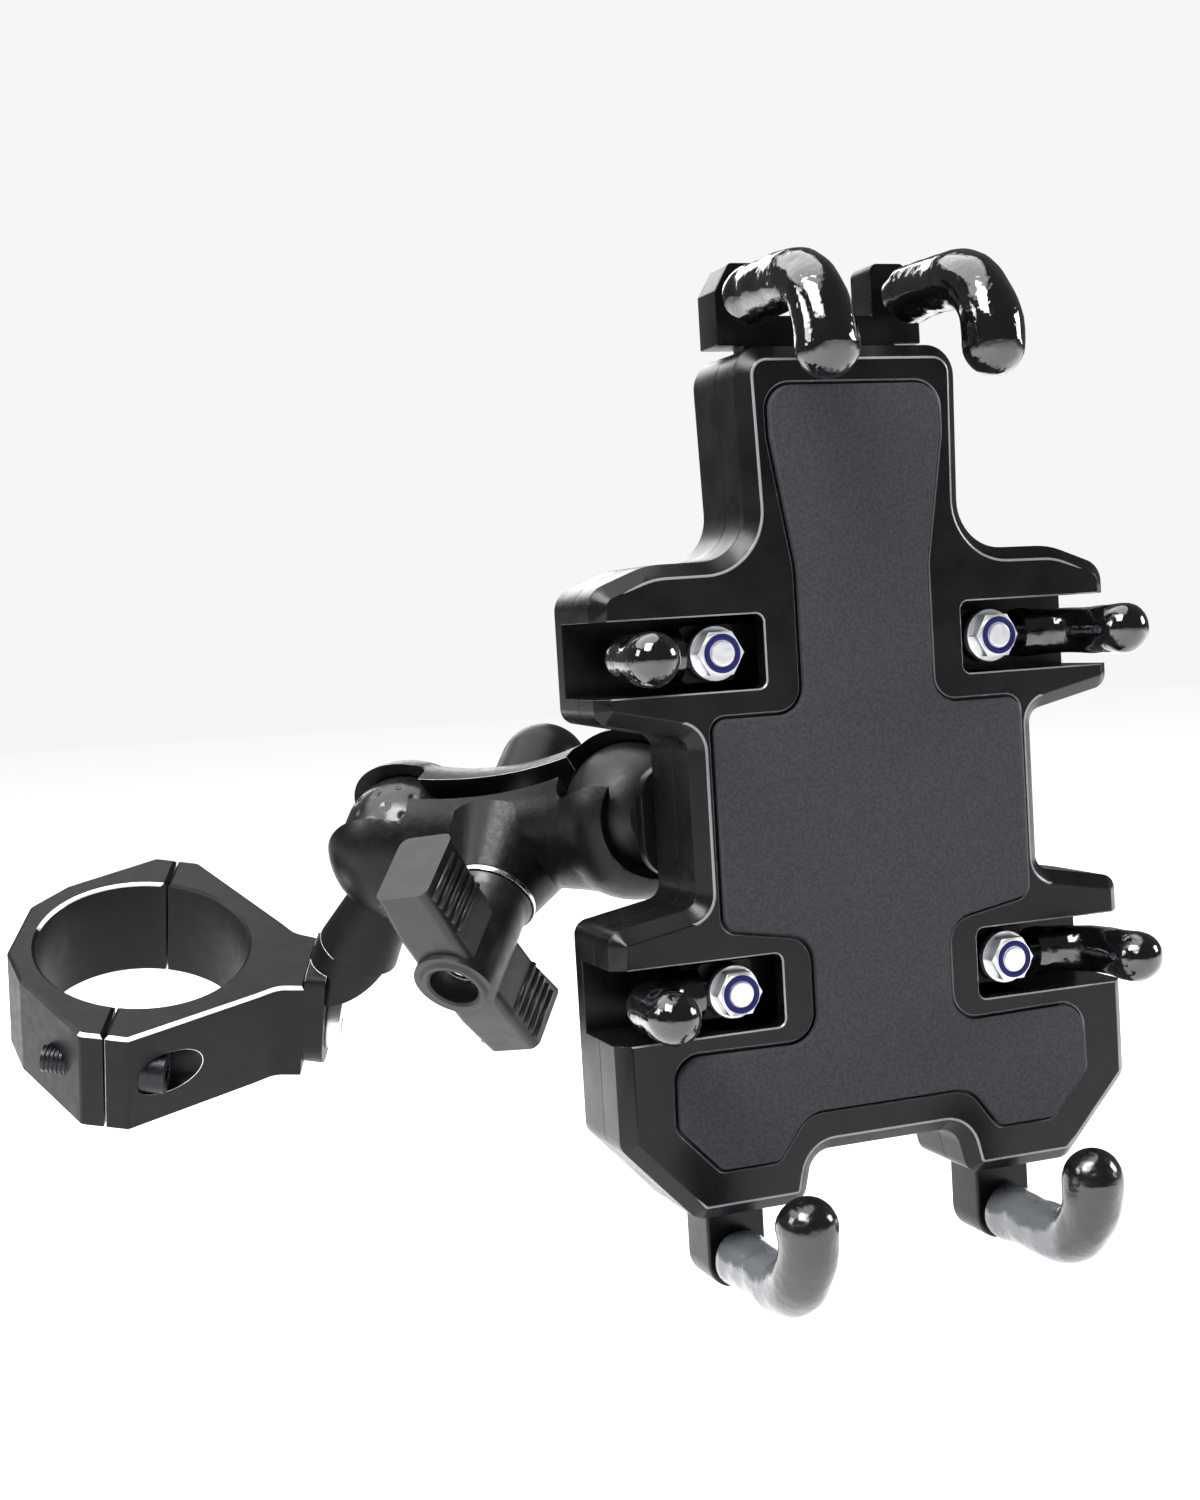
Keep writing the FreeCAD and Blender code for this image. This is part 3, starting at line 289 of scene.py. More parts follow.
    # Bright zinc plate on the nuts and the bracket's screw: silvery, faintly mottled.
    make("zinc", "zinc plate", linear("#e4e5e7"), 0.34, metallic=0.85,
         gloss=(0.9, 0.28, 0.42), grain=((0.5, 0.006),))

    # Turned stainless steel: concentric tool marks too fine to show, so only uneven gloss.
    make("steel", "turned stainless steel", linear("#cdced2"), 0.2, metallic=1.0, gloss=(0.7, 0.12, 0.3))

    # Black oxide on the cap screws: oily dark steel.
    make("oxide", "black oxide steel", linear("#2a2b2e"), 0.32, metallic=0.9,
         gloss=(1.2, 0.24, 0.44), grain=((0.4, 0.01),))

    # Nylon insert ring of the lock nuts, moulded in dark blue.
    make("nylon", "blue nylon", look.nylon_colour, 0.5, specular=0.2, gloss=(0.8, 0.44, 0.58))
    return made


finishes = {}


# ---------------------------------------------------------------- meshes

def link(name, data):
    """A new object in the scene."""
    item = bpy.data.objects.new(name, data)
    bpy.context.scene.collection.objects.link(item)
    return item


def new_piece(name, mesh, materials):
    """An object at the origin with the mesh and its finishes."""
    for material in materials:
        mesh.materials.append(finishes[material])
    return link(name, mesh)


def evaluated(piece):
    """The plain mesh of a piece with its modifiers worked in."""
    bpy.context.view_layer.update()
    depsgraph = bpy.context.evaluated_depsgraph_get()
    return bpy.data.meshes.new_from_object(piece.evaluated_get(depsgraph))


def baked(piece):
    """Works a piece's modifiers into its mesh and removes them."""
    mesh = evaluated(piece)
    piece.modifiers.clear()
    piece.data = mesh
    return piece


def smooth(piece, corner=SMOOTH_CORNER):
    """Smooth shading with crisp corners and flat faces that stay flat."""
    mesh = piece.data
    mesh.shade_smooth()
    mesh.set_sharp_from_angle(angle=math.radians(corner))
    modifier = piece.modifiers.new("Even normals", "WEIGHTED_NORMAL")
    modifier.keep_sharp = True
    return baked(piece)


def merged_copy(node):
    """A CAD node's mesh with its doubles merged and its flat faces made whole."""
    work = bmesh.new()
    work.from_mesh(frame["nodes"][node].data)
    bmesh.ops.remove_doubles(work, verts=work.verts, dist=2e-6)
    bmesh.ops.dissolve_limit(work, angle_limit=math.radians(0.6), verts=work.verts, edges=work.edges)
    return work


def sharp_edges(work, corner):
    """Edges whose two faces meet at more than a corner's angle."""
    return [edge for edge in work.edges
            if len(edge.link_faces) == 2 and edge.calc_face_angle(0) > math.radians(corner)]


def bevel_edges(work, edges, width_mm, segments, slot):
    """Bevels edges; the new faces take a material slot."""
    if edges:
        bmesh.ops.bevel(work, geom=edges, offset=width_mm * MM, offset_type="OFFSET",
                        segments=segments, profile=0.5, affect="EDGES", clamp_overlap=True,
                        material=slot)


def round_plain(work, corner, width_mm, segments):
    """Rounds the sharp edges that no bright face touches."""
    plain = [edge for edge in sharp_edges(work, corner)
             if all(face.material_index == PLAIN_SLOT for face in edge.link_faces)]
    bevel_edges(work, plain, width_mm, segments, PLAIN_SLOT)


def finished(name, work, materials, corner=SMOOTH_CORNER):
    """A smooth piece from a bmesh, which is freed."""
    mesh = bpy.data.meshes.new(name)
    work.to_mesh(mesh)
    work.free()
    return smooth(new_piece(name, mesh, materials), corner)


def refine(node, materials, soft, bright=None, highlight_width=0.0, corner=30.0, segments=2):
    """Replaces a CAD node by a copy with rounded edges; bright(point) picks the edges cut bright."""
    work = merged_copy(node)
    if bright:
        picked = [edge for edge in sharp_edges(work, corner)
                  if bright((edge.verts[0].co + edge.verts[1].co) / 2)]
        bevel_edges(work, picked, highlight_width, 1, PAINTED_HIGHLIGHT_SLOT)
    round_plain(work, corner, soft, segments)
    return place(finished(node + "_finished", work, materials), node)


def place(piece, node):
    """Sends a piece to its CAD node's body and finish, in the node's stead."""
    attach(piece, BODY_OF[node])
    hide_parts(node)
    return piece


def join_to(piece, body):
    """Sends a piece of trim to a body."""
    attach(piece, body)
    return piece


def dress(node, finish):
    """Gives a CAD node's own object a finish."""
    mesh_slots = frame["nodes"][node].material_slots
    for slot in mesh_slots:
        slot.material = finishes[finish]
    if not mesh_slots:
        frame["nodes"][node].data.materials.append(finishes[finish])


def bridge(work, rings):
    """Faces between each ring of vertices and the next."""
    for first, second in zip(rings, rings[1:]):
        for step in range(len(first)):
            after = (step + 1) % len(first)
            work.faces.new((first[step], first[after], second[after], second[step]))


def lathe(work, profile, segments, matrix):
    """A surface turned round the matrix's Z from (radius, height) points."""
    turns = [2 * math.pi * step / segments for step in range(segments)]
    bridge(work, [[work.verts.new(matrix @ Vector((radius * math.cos(turn), radius * math.sin(turn), height)))
                   for turn in turns] for radius, height in profile])


def mesh_piece(name, work, materials, corner=SMOOTH_CORNER):
    """A piece from a bmesh, with its faces turned outwards."""
    bmesh.ops.recalc_face_normals(work, faces=work.faces)
    return finished(name, work, materials, corner)


# ---------------------------------------------------------------- node trees

def new_tree(name, inputs):
    """A geometry tree with named inputs; returns the tree and its group input node."""
    tree = bpy.data.node_groups.new(name, "GeometryNodeTree")
    tree.interface.new_socket("Geometry", in_out="INPUT", socket_type="NodeSocketGeometry")
    for title, kind, default in inputs:
        socket = tree.interface.new_socket(title, in_out="INPUT", socket_type="NodeSocket" + kind)
        if default is not None:
            socket.default_value = default
    tree.interface.new_socket("Geometry", in_out="OUTPUT", socket_type="NodeSocketGeometry")
    return tree, tree.nodes.new("NodeGroupInput").outputs


def close_tree(tree, geometry, material):
    """Ends a tree in Realize Instances and Set Material."""
    whole = add(tree, "GeometryNodeRealizeInstances", {"Geometry": geometry})
    dressed = add(tree, "GeometryNodeSetMaterial", {"Geometry": whole.outputs[0], "Material": material})
    add(tree, "NodeGroupOutput", {"Geometry": dressed.outputs[0]})
    return tree


def grow(name, tree, finish, values, matrix, points=()):
    """Runs a tree on some points and puts the mesh it makes in place."""
    mesh = bpy.data.meshes.new(name)
    mesh.from_pydata([tuple(point) for point in points], [], [])
    piece = link(name, mesh)
    modifier = piece.modifiers.new("Shape", "NODES")
    modifier.node_group = tree
    values = dict(values, Material=finishes[finish])
    for item in tree.interface.items_tree:
        if item.in_out == "INPUT" and item.name in values:
            modifier[item.identifier] = values[item.name]
    baked(piece)
    piece.data.transform(matrix)
    if not piece.data.materials:
        piece.data.materials.append(finishes[finish])
    return piece


def helix_tree():
    """A round wire wound on a cylinder: springs and screw threads."""
    tree, given = new_tree("Helix", (
        ("Radius", "Float", 4 * MM), ("Height", "Float", 10 * MM), ("Turns", "Float", 6.0),
        ("Wire", "Float", 0.5 * MM), ("Material", "Material", None)))
    spiral = add(tree, "GeometryNodeCurveSpiral", {
        "Resolution": 32, "Rotations": given["Turns"], "Start Radius": given["Radius"],
        "End Radius": given["Radius"], "Height": given["Height"]})
    section = add(tree, "GeometryNodeCurvePrimitiveCircle", {"Resolution": 8, "Radius": given["Wire"]})
    wire = add(tree, "GeometryNodeCurveToMesh", {
        "Curve": spiral.outputs[0], "Profile Curve": section.outputs[0], "Fill Caps": True})
    rounded = add(tree, "GeometryNodeSetShadeSmooth", {0: wire.outputs[0]})
    return close_tree(tree, rounded.outputs[0], given["Material"])


def dimple_tree():
    """A ball whose skin sinks in shallow dimples spread evenly over it."""
    tree, given = new_tree("Dimpled ball", (
        ("Radius", "Float", 12.7 * MM), ("Dimples", "Int", 90), ("Dimple radius", "Float", 1.3 * MM),
        ("Depth", "Float", 0.3 * MM), ("Material", "Material", None)))
    dots = add(tree, "GeometryNodeMeshLine", {"Count": given["Dimples"]})
    index = add(tree, "GeometryNodeInputIndex").outputs[0]
    half = add(tree, "ShaderNodeMath", {0: index, 1: 0.5}, operation="ADD").outputs[0]
    share = add(tree, "ShaderNodeMath", {0: half, 1: given["Dimples"]}, operation="DIVIDE").outputs[0]
    height = add(tree, "ShaderNodeMath", {0: share, 1: -2.0, 2: 1.0}, operation="MULTIPLY_ADD").outputs[0]
    squared = add(tree, "ShaderNodeMath", {0: height, 1: height}, operation="MULTIPLY").outputs[0]
    rest = add(tree, "ShaderNodeMath", {0: 1.0, 1: squared}, operation="SUBTRACT").outputs[0]
    width = add(tree, "ShaderNodeMath", {0: rest, 1: 0.5}, operation="POWER").outputs[0]
    golden_turn = math.pi * (3 - math.sqrt(5))
    turn = add(tree, "ShaderNodeMath", {0: index, 1: golden_turn}, operation="MULTIPLY").outputs[0]
    cosine = add(tree, "ShaderNodeMath", {0: turn}, operation="COSINE").outputs[0]
    sine = add(tree, "ShaderNodeMath", {0: turn}, operation="SINE").outputs[0]
    across = add(tree, "ShaderNodeMath", {0: width, 1: cosine}, operation="MULTIPLY").outputs[0]
    along = add(tree, "ShaderNodeMath", {0: width, 1: sine}, operation="MULTIPLY").outputs[0]
    spot = add(tree, "ShaderNodeCombineXYZ", {0: across, 1: along, 2: height}).outputs[0]
    spot = add(tree, "ShaderNodeVectorMath", {0: spot, "Scale": given["Radius"]},
               operation="SCALE").outputs[0]
    dots = add(tree, "GeometryNodeSetPosition", {"Geometry": dots.outputs[0], "Position": spot})
    ball = add(tree, "GeometryNodeMeshIcoSphere", {"Radius": given["Radius"], "Subdivisions": 6})
    near = add(tree, "GeometryNodeProximity", {0: dots.outputs[0]}, target_element="POINTS")
    sunk = add(tree, "ShaderNodeMapRange", {
        "Value": near.outputs["Distance"], "From Min": 0.0, "From Max": given["Dimple radius"],
        "To Min": 1.0, "To Max": 0.0}, interpolation_type="SMOOTHSTEP")
    depth = add(tree, "ShaderNodeMath", {0: sunk.outputs[0], 1: given["Depth"]}, operation="MULTIPLY")
    inwards = add(tree, "ShaderNodeMath", {0: depth.outputs[0], 1: -1.0}, operation="MULTIPLY")
    move = add(tree, "ShaderNodeVectorMath", {
        0: add(tree, "GeometryNodeInputNormal").outputs[0], "Scale": inwards.outputs[0]},
        operation="SCALE")
    skin = add(tree, "GeometryNodeSetPosition", {"Geometry": ball.outputs[0], "Offset": move.outputs[0]})
    rounded = add(tree, "GeometryNodeSetShadeSmooth", {0: skin.outputs[0]})
    return close_tree(tree, rounded.outputs[0], given["Material"])


def rib_tree():
    """Rounded ribs side by side along X."""
    tree, given = new_tree("Ribs", (
        ("Count", "Int", 5), ("Pitch", "Float", 1.8 * MM), ("Length", "Float", 12 * MM),
        ("Radius", "Float", 0.5 * MM), ("Material", "Material", None)))
    step = add(tree, "ShaderNodeCombineXYZ", {0: given["Pitch"]}).outputs[0]
    row = add(tree, "GeometryNodeMeshLine", {"Count": given["Count"], "Offset": step})
    bar = add(tree, "GeometryNodeMeshCylinder", {
        "Vertices": 12, "Side Segments": 1, "Radius": given["Radius"], "Depth": given["Length"]})
    ribs = add(tree, "GeometryNodeInstanceOnPoints", {"Points": row.outputs[0], "Instance": bar.outputs[0]})
    rounded = add(tree, "GeometryNodeSetShadeSmooth", {0: ribs.outputs[0]})
    return close_tree(tree, rounded.outputs[0], given["Material"])


def ring_tree():
    """A flat rounded ring on each given point, lying across Y."""
    tree, given = new_tree("Insert rings", (
        ("Radius", "Float", 2.6 * MM), ("Thickness", "Float", 0.5 * MM), ("Material", "Material", None)))
    loop = add(tree, "GeometryNodeCurvePrimitiveCircle", {"Resolution": 48, "Radius": given["Radius"]})
    section = add(tree, "GeometryNodeCurvePrimitiveCircle", {"Resolution": 12, "Radius": given["Thickness"]})
    ring = add(tree, "GeometryNodeCurveToMesh", {
        "Curve": loop.outputs[0], "Profile Curve": section.outputs[0]})
    turned = add(tree, "GeometryNodeTransform", {
        "Geometry": ring.outputs[0], "Rotation": (math.radians(90), 0, 0), "Scale": (1, 1, 0.6)})
    rings = add(tree, "GeometryNodeInstanceOnPoints", {"Points": given["Geometry"],
                                                       "Instance": turned.outputs[0]})
    rounded = add(tree, "GeometryNodeSetShadeSmooth", {0: rings.outputs[0]})
    return close_tree(tree, rounded.outputs[0], given["Material"])


def head_tree():
    """A copy of a screw head on each given point."""
    tree, given = new_tree("Screw heads", (("Head", "Object", None), ("Material", "Material", None)))
    head = add(tree, "GeometryNodeObjectInfo", {"Object": given["Head"]})
    heads = add(tree, "GeometryNodeInstanceOnPoints", {"Points": given["Geometry"],
                                                       "Instance": head.outputs["Geometry"]})
    return close_tree(tree, heads.outputs[0], given["Material"])


# ---------------------------------------------------------------- pieces

def build_ring():
    """The split ring's halves with their cut edges, and its screws."""
    back = CLAMP.inverted()
    bore_rim = BORE_RADIUS + 1.5 * MM
    end_level = 10.0 * MM
    split_edge = 1.0 * MM
    near_start = -5.0 * MM
    near_side = -8.0 * MM
    near_split = -27.0 * MM
    mouth_level = 7.0 * MM
    corner = 40

    def highlight_bevel(face):
        """The bevels cut bright: the near side's top edge and the far side of the bore's rim."""
        centre = back @ face.calc_center_median()
        lean = (back.to_3x3() @ face.normal).z
        if not 0.6 < lean < 0.8 or centre.z < end_level or abs(centre.x) < split_edge:
            return False
        if centre.xy.length > bore_rim:
            return centre.x > near_start and centre.y < near_side
        return centre.x < 0 and centre.y > 0

    def highlight_line(edge):
        """The thin lines cut bright: the seats' mouths and the near side's split."""
        middle = back @ ((edge.verts[0].co + edge.verts[1].co) / 2)
        mouth = math.hypot(abs(middle.y) - SCREW_OFFSET, middle.z)
        at_seat = abs(mouth - SEAT_RADIUS) < 0.4 * MM and middle.x > mouth_level
        at_split = 0 < middle.x < 0.5 * MM and middle.y < near_split and abs(middle.z) < end_level
        return at_seat or at_split

    for node in ("clamp_body", "clamp_cap"):
        work = merged_copy(node)
        for face in work.faces:
            # The picked faces take the near-white slot, which paints a highlight on them.
            face.material_index = int(highlight_bevel(face))
        lines = [edge for edge in sharp_edges(work, corner) if highlight_line(edge)]
        # The thin lines take the same painted highlight.
        bevel_edges(work, lines, 0.16, 1, PAINTED_HIGHLIGHT_SLOT)
        round_plain(work, corner, 0.12, 2)
        place(finished(node + "_finished", work, ("anodised", "edge_highlight")), node)
    for node in ("clamp_screw_near", "clamp_screw_far"):
        refine(node, ("oxide",), 0.25)
    thread = helix_tree()
    for node in ("clamp_screw_near", "clamp_screw_far"):
        tip = screw_tip(node)
        matrix = CLAMP @ Matrix.Translation(tip) @ Matrix.Rotation(math.radians(90), 4, "Y")
        piece = grow(node + "_thread", thread, "oxide", SCREW_THREAD, matrix)
        join_to(piece, "clamp")


def screw_tip(node):
    """The point of a clamp screw in the ring's frame, a little way in from its end."""
    back = CLAMP.inverted()
    points = [back @ vertex.co for vertex in frame["nodes"][node].data.vertices]
    end = min(point.x for point in points)
    ends = [point for point in points if point.x < end + 0.05 * MM]
    middle = sum((point.y for point in ends)) / len(ends)
    return Vector((end + 0.5 * MM, middle, 0))


def build_bracket():
    """The elbow on the ring's neck and its button-head screw."""
    back = CLAMP.inverted()
    plate_level = 12.5 * MM
    plate_end = 38 * MM

    def upper_edge(point):
        """The plate's upper edges, cut bright."""
        local = back @ point
        return local.z > plate_level and local.x < plate_end

    # The near-white bevels on the plate's upper edges are a painted highlight.
    refine("ball_bracket", ("anodised", "edge_highlight"), 0.3, bright=upper_edge, highlight_width=0.3)
    refine("bracket_screw", ("zinc",), 0.35)


def build_balls(sizes):
    """The balls' stems and their rubber skins; the lower one has dimples."""
    tree = dimple_tree()
    for end, finish, depth in (("lower", "ball", sizes.dimple_depth), ("upper", "scuffed_ball", 0.0)):
        node = end + "_ball"
        cover = end + "_ball_cover"
        refine(node, ("anodised",), 0.25)
        centre = Vector(JOINTS[end + "_ball_turn"]["pos_m"])
        low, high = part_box(cover)
        radius = max(high[axis] - low[axis] for axis in range(3)) / 2
        piece = grow(cover + "_skin", tree, finish,
                     {"Radius": radius, "Dimples": sizes.dimples, "Dimple radius": sizes.dimple_radius,
                      "Depth": depth},
                     Matrix.Translation(centre))
        place(piece, cover)


def build_arm(sizes):
    """The arm's halves with their bright rims, its bolt and its spring."""
    back = ARM.inverted()
    rim_level = 2.5 * MM
    middle_width = 6 * MM
    for node, sign in (("arm_front_half", 1), ("arm_rear_half", -1)):
        def rim(point, sign=sign):
            """The half's rim at the gap, past the arm's middle."""
            local = back @ point
            return abs(local.z * sign - rim_level) < 0.3 * MM and abs(local.y) > middle_width
        # The near-white rim at the gap is a painted highlight on the powder coat.
        refine(node, ("arm", "edge_highlight"), 0.3, bright=rim, highlight_width=sizes.rim_width / MM)
    dress("arm_bolt", "oxide")
    middle = Matrix.Translation((0, 0, -ARM_SPRING["Height"] / 2))
    spring = grow("arm_spring_coil", bpy.data.node_groups["Helix"], "steel", ARM_SPRING, ARM @ middle)
    place(spring, "arm_spring")


def build_knob(sizes):
    """The wing knob, its ribs, the rim of its hole, the washer and the threaded insert."""
    refine("knob", ("knob",), 0.6, segments=3, corner=35)
    wing_face = 5.7 * MM
    rib_start = 10.6 * MM
    rib_level = 29.2 * MM
    rib_length = 10.4 * MM
    wing_lean = 3.0
    ribs = rib_tree()
    for side in (0, 1):
        for face in (-1, 1):
            matrix = (ARM @ Matrix.Rotation(math.pi * side, 4, "Z")
                      @ Matrix.Translation((face * wing_face, rib_start, rib_level))
                      @ Matrix.Rotation(math.radians(90 + face * wing_lean), 4, "Z"))
            piece = grow("knob_ribs_%d_%d" % (side, face + 1), ribs, "knob",
                         {"Count": sizes.rib_count, "Pitch": sizes.rib_pitch, "Length": rib_length,
                          "Radius": sizes.rib_radius}, matrix)
            join_to(piece, "knob")
    refine("knob_washer", ("steel",), 0.15)
    refine("knob_insert", ("steel",), 0.25)

    rim = bmesh.new()
    end = 37.3 * MM
    root = end - 0.4 * MM
    crown = end + 0.5 * MM
    hole = 4.5 * MM
    outside = 6.2 * MM
    lathe(rim, ((hole, root), (hole, end + 0.1 * MM), (4.9 * MM, crown), (5.6 * MM, crown),
                (outside, end), (outside, root), (hole, root)), 48, ARM)
    join_to(mesh_piece("knob_hole_rim", rim, ("knob",)), "knob")
    insert_level = Matrix.Translation((0, 0, 24.0 * MM))
    thread = grow("knob_insert_thread", bpy.data.node_groups["Helix"], "steel", INSERT_THREAD,
                  ARM @ insert_level)
    join_to(thread, "knob")


def build_shells(sizes):
    """The cradle's shells with their bright lips, the pad and the back's screws."""
    back = CRADLE.inverted()
    slots_middle = -6.25 * MM
    slot_rise = 27.45 * MM
    slot_half = 6.3 * MM
    slot_root = 17.5 * MM
    groove_reach = 38.5 * MM
    lip_reach = 45.3 * MM

    def lip(point):
        """The front face's edges round the slots and the pad's groove."""
        local = back @ point
        across = abs(local.x)
        in_slot = abs(abs(local.z - slots_middle) - slot_rise) < slot_half and across > slot_root
        return abs(local.y) < 0.05 * MM and across < lip_reach and (in_slot or across < groove_reach)
    # The lips' pale grey is a painted highlight on the black shell.
    refine("front_shell", ("shell", "lip"), 0.3, bright=lip, highlight_width=sizes.lip_highlight_width / MM)
    refine("rear_shell", ("shell",), 0.5)
    refine("front_pad", ("pad",), 0.5, segments=3)
    refine("base_plate", ("shell",), 0.5)
    for node in ("base_screw_upper", "base_screw_lower"):
        refine(node, ("oxide",), 0.2)
    dress("pinion_pin", "steel")
    dress("pinion", "acetal")

    head = bmesh.new()
    hexagon_screw(head, radius=2.3 * MM, height=0.9 * MM, socket=1.25 * MM)
    template = mesh_piece("shell_screw_template", head, ("oxide",))
    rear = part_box("rear_shell")[1].y - CRADLE.translation.y - 0.25 * MM
    places = [(side * x * MM, rear, z * MM) for side in (-1, 1) for x, z in BACK_SCREWS]
    screws = grow("shell_screws", head_tree(), "oxide", {"Head": template}, CRADLE, places)
    screws.data.shade_smooth()
    screws.data.set_sharp_from_angle(angle=math.radians(SMOOTH_CORNER))
    join_to(screws, "cradle")
    bpy.data.objects.remove(template)


def hexagon_screw(work, radius, height, socket):
    """A domed screw head that faces +Y, with a six-sided socket."""
    turn = Matrix.Rotation(math.radians(-90), 4, "X")
    steps = 24
    rings = []
    sink = height * 0.6
    levels = ((radius, 0.0, False), (radius, height * 0.5, False), (radius * 0.8, height, False),
              (socket, height, True), (socket, height - sink, True))
    for size, level, is_socket in levels:
        ring = []
        for step in range(steps):
            angle = 2 * math.pi * step / steps
            reach = size
            if is_socket:
                fold = (angle % (math.pi / 3)) - math.pi / 6
                reach = size * math.cos(math.pi / 6) / math.cos(fold)
            point = Vector((reach * math.cos(angle), reach * math.sin(angle), level))
            ring.append(work.verts.new(turn @ point))
        rings.append(ring)
    bridge(work, rings)
    work.faces.new(rings[-1])
    work.faces.new(list(reversed(rings[0])))


def build_sliders():
    """The sliders that carry the claws, and the lugs of the bottom ones."""
    for node in ("side_slider_left", "side_slider_right"):
        refine(node, ("acetal",), 0.3, corner=60)
    for node in ("top_slider", "bottom_lug_left", "bottom_lug_right"):
        refine(node, ("shell",), 0.5)


def bent_path(points, bend, steps=14):
    """Points along two straight runs joined by an arc."""
    start, corner, end = points
    inward = (start - corner).normalized()
    outward = (end - corner).normalized()
    centre = corner + (inward + outward) * bend
    spacing = 1.0 * MM
    path = []
    first = corner + inward * bend
    run = max(2, round((first - start).length / spacing))
    path += [start.lerp(first, step / run) for step in range(run)]
    for step in range(steps + 1):
        angle = math.pi / 2 * step / steps
        path.append(centre - outward * bend * math.cos(angle) - inward * bend * math.sin(angle))
    last = corner + outward * bend
    run = max(2, round((end - last).length / spacing))
    path += [last.lerp(end, (step + 1) / run) for step in range(run)]
    return path


def dipped_claw(name, points, bend, radius, seed, finish):
    """A dipped sleeve round a bent path: uneven along its run, with a bulb at its tip."""
    path = bent_path(points, bend)
    steps = 28
    work = bmesh.new()
    rings = []
    side = (points[0] - points[1]).cross(points[2] - points[1]).normalized()
    lengths = [0.0]
    for before, after in zip(path, path[1:]):
        lengths.append(lengths[-1] + (after - before).length)
    total = lengths[-1]
    cap = 8
    neck = 0.9
    tip_swell = 0.07
    tip_length = 4 * MM
    root_swell = 0.05
    root_length = 1.5 * MM
    tip_share = 0.97
    for index, centre in enumerate(path):
        ahead = path[min(index + 1, len(path) - 1)]
        behind = path[max(index - 1, 0)]
        forward = (ahead - behind).normalized()
        up = side.cross(forward)
        swell = neck + tip_swell * math.exp(-((lengths[index] - total) / tip_length) ** 2)
        swell += root_swell * math.exp(-((lengths[index] - root_length) / root_length) ** 2)
        rings.append(sleeve_ring(work, centre, side, up, radius * swell, steps, seed))
    forward = (path[-1] - path[-2]).normalized()
    up = side.cross(forward)
    for level in range(1, cap):
        angle = math.pi / 2 * level / cap
        centre = path[-1] + forward * radius * tip_share * math.sin(angle)
        size = radius * tip_share * math.cos(angle)
        rings.append(sleeve_ring(work, centre, side, up, size, steps, seed))
    bridge(work, rings)
    start = work.verts.new(path[0])
    end = work.verts.new(path[-1] + forward * radius * tip_share)
    for step in range(steps):
        after = (step + 1) % steps
        work.faces.new((start, rings[0][after], rings[0][step]))
        work.faces.new((end, rings[-1][step], rings[-1][after]))
    return mesh_piece(name, work, (finish,), 50)


def sleeve_ring(work, centre, side, up, radius, steps, seed):
    """One ring of a sleeve, with low lumps in it."""
    lump_size = 4.5 * MM
    lump_share = 0.075
    ring = []
    for step in range(steps):
        angle = 2 * math.pi * step / steps
        outward = side * math.cos(angle) + up * math.sin(angle)
        point = centre + outward * radius
        lump = noise.noise(point / lump_size + Vector((seed, 0, 0))) * lump_share * radius
        ring.append(work.verts.new(point + outward * lump))
    return ring


def build_claws(sizes):
    """The dipped sleeves of all eight claws, their rods, bolts and lock nuts."""
    seed = 1
    for end, sign in (("top", 1), ("bottom", -1)):
        for hand in ("left", "right"):
            node = "%s_sleeve_%s" % (end, hand)
            low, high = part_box(node)
            radius = (high.x - low.x) / 2
            x = (high.x + low.x) / 2
            level = (high.z - radius) if sign > 0 else (low.z + radius)
            tip = (low.z + radius) if sign > 0 else (high.z - radius)
            front = low.y + radius
            points = [Vector((x, high.y, level)), Vector((x, front, level)), Vector((x, front, tip))]
            # The lower claws take the vinyl with the painted grey reflection.
            finish = "vinyl" if end == "top" else "reflection_vinyl"
            place(dipped_claw(node + "_dip", points, sizes.end_bend, radius, seed, finish), node)
            dress("%s_rod_%s" % (end, hand), "oxide")
            seed += 1
    ring_points = {"left": [], "right": []}
    for height in ("upper", "lower"):
        for hand, sign in (("left", -1), ("right", 1)):
            tail = "%s_%s" % (height, hand)
            node = "side_sleeve_" + tail
            low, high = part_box(node)
            radius = (high.z - low.z) / 2
            z = (high.z + low.z) / 2
            depth = high.y - radius
            tip_x = high.x - radius if sign > 0 else low.x + radius
            root_x = low.x if sign > 0 else high.x
            points = [Vector((root_x, depth, z)), Vector((tip_x, depth, z)),
                      Vector((tip_x, low.y + radius, z))]
            place(dipped_claw(node + "_dip", points, sizes.side_bend, radius, seed, "vinyl"), node)
            dress("side_rod_" + tail, "oxide")
            nut = "claw_nut_" + tail
            refine(nut, ("zinc",), 0.25, segments=3)
            bolt = "claw_bolt_" + tail
            refine(bolt, ("zinc",), 0.25)
            low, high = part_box(nut)
            ring_points[hand].append(((low.x + high.x) / 2, low.y + 0.1 * MM, (low.z + high.z) / 2))
            seed += 1
    tree = ring_tree()
    for hand, points in ring_points.items():
        rings = grow("nylon_rings_" + hand, tree, "nylon",
                     {"Radius": sizes.nylon_radius, "Thickness": sizes.nylon_wall}, Matrix(), points)
        join_to(rings, "slider_" + hand)


# ---------------------------------------------------------------- stage

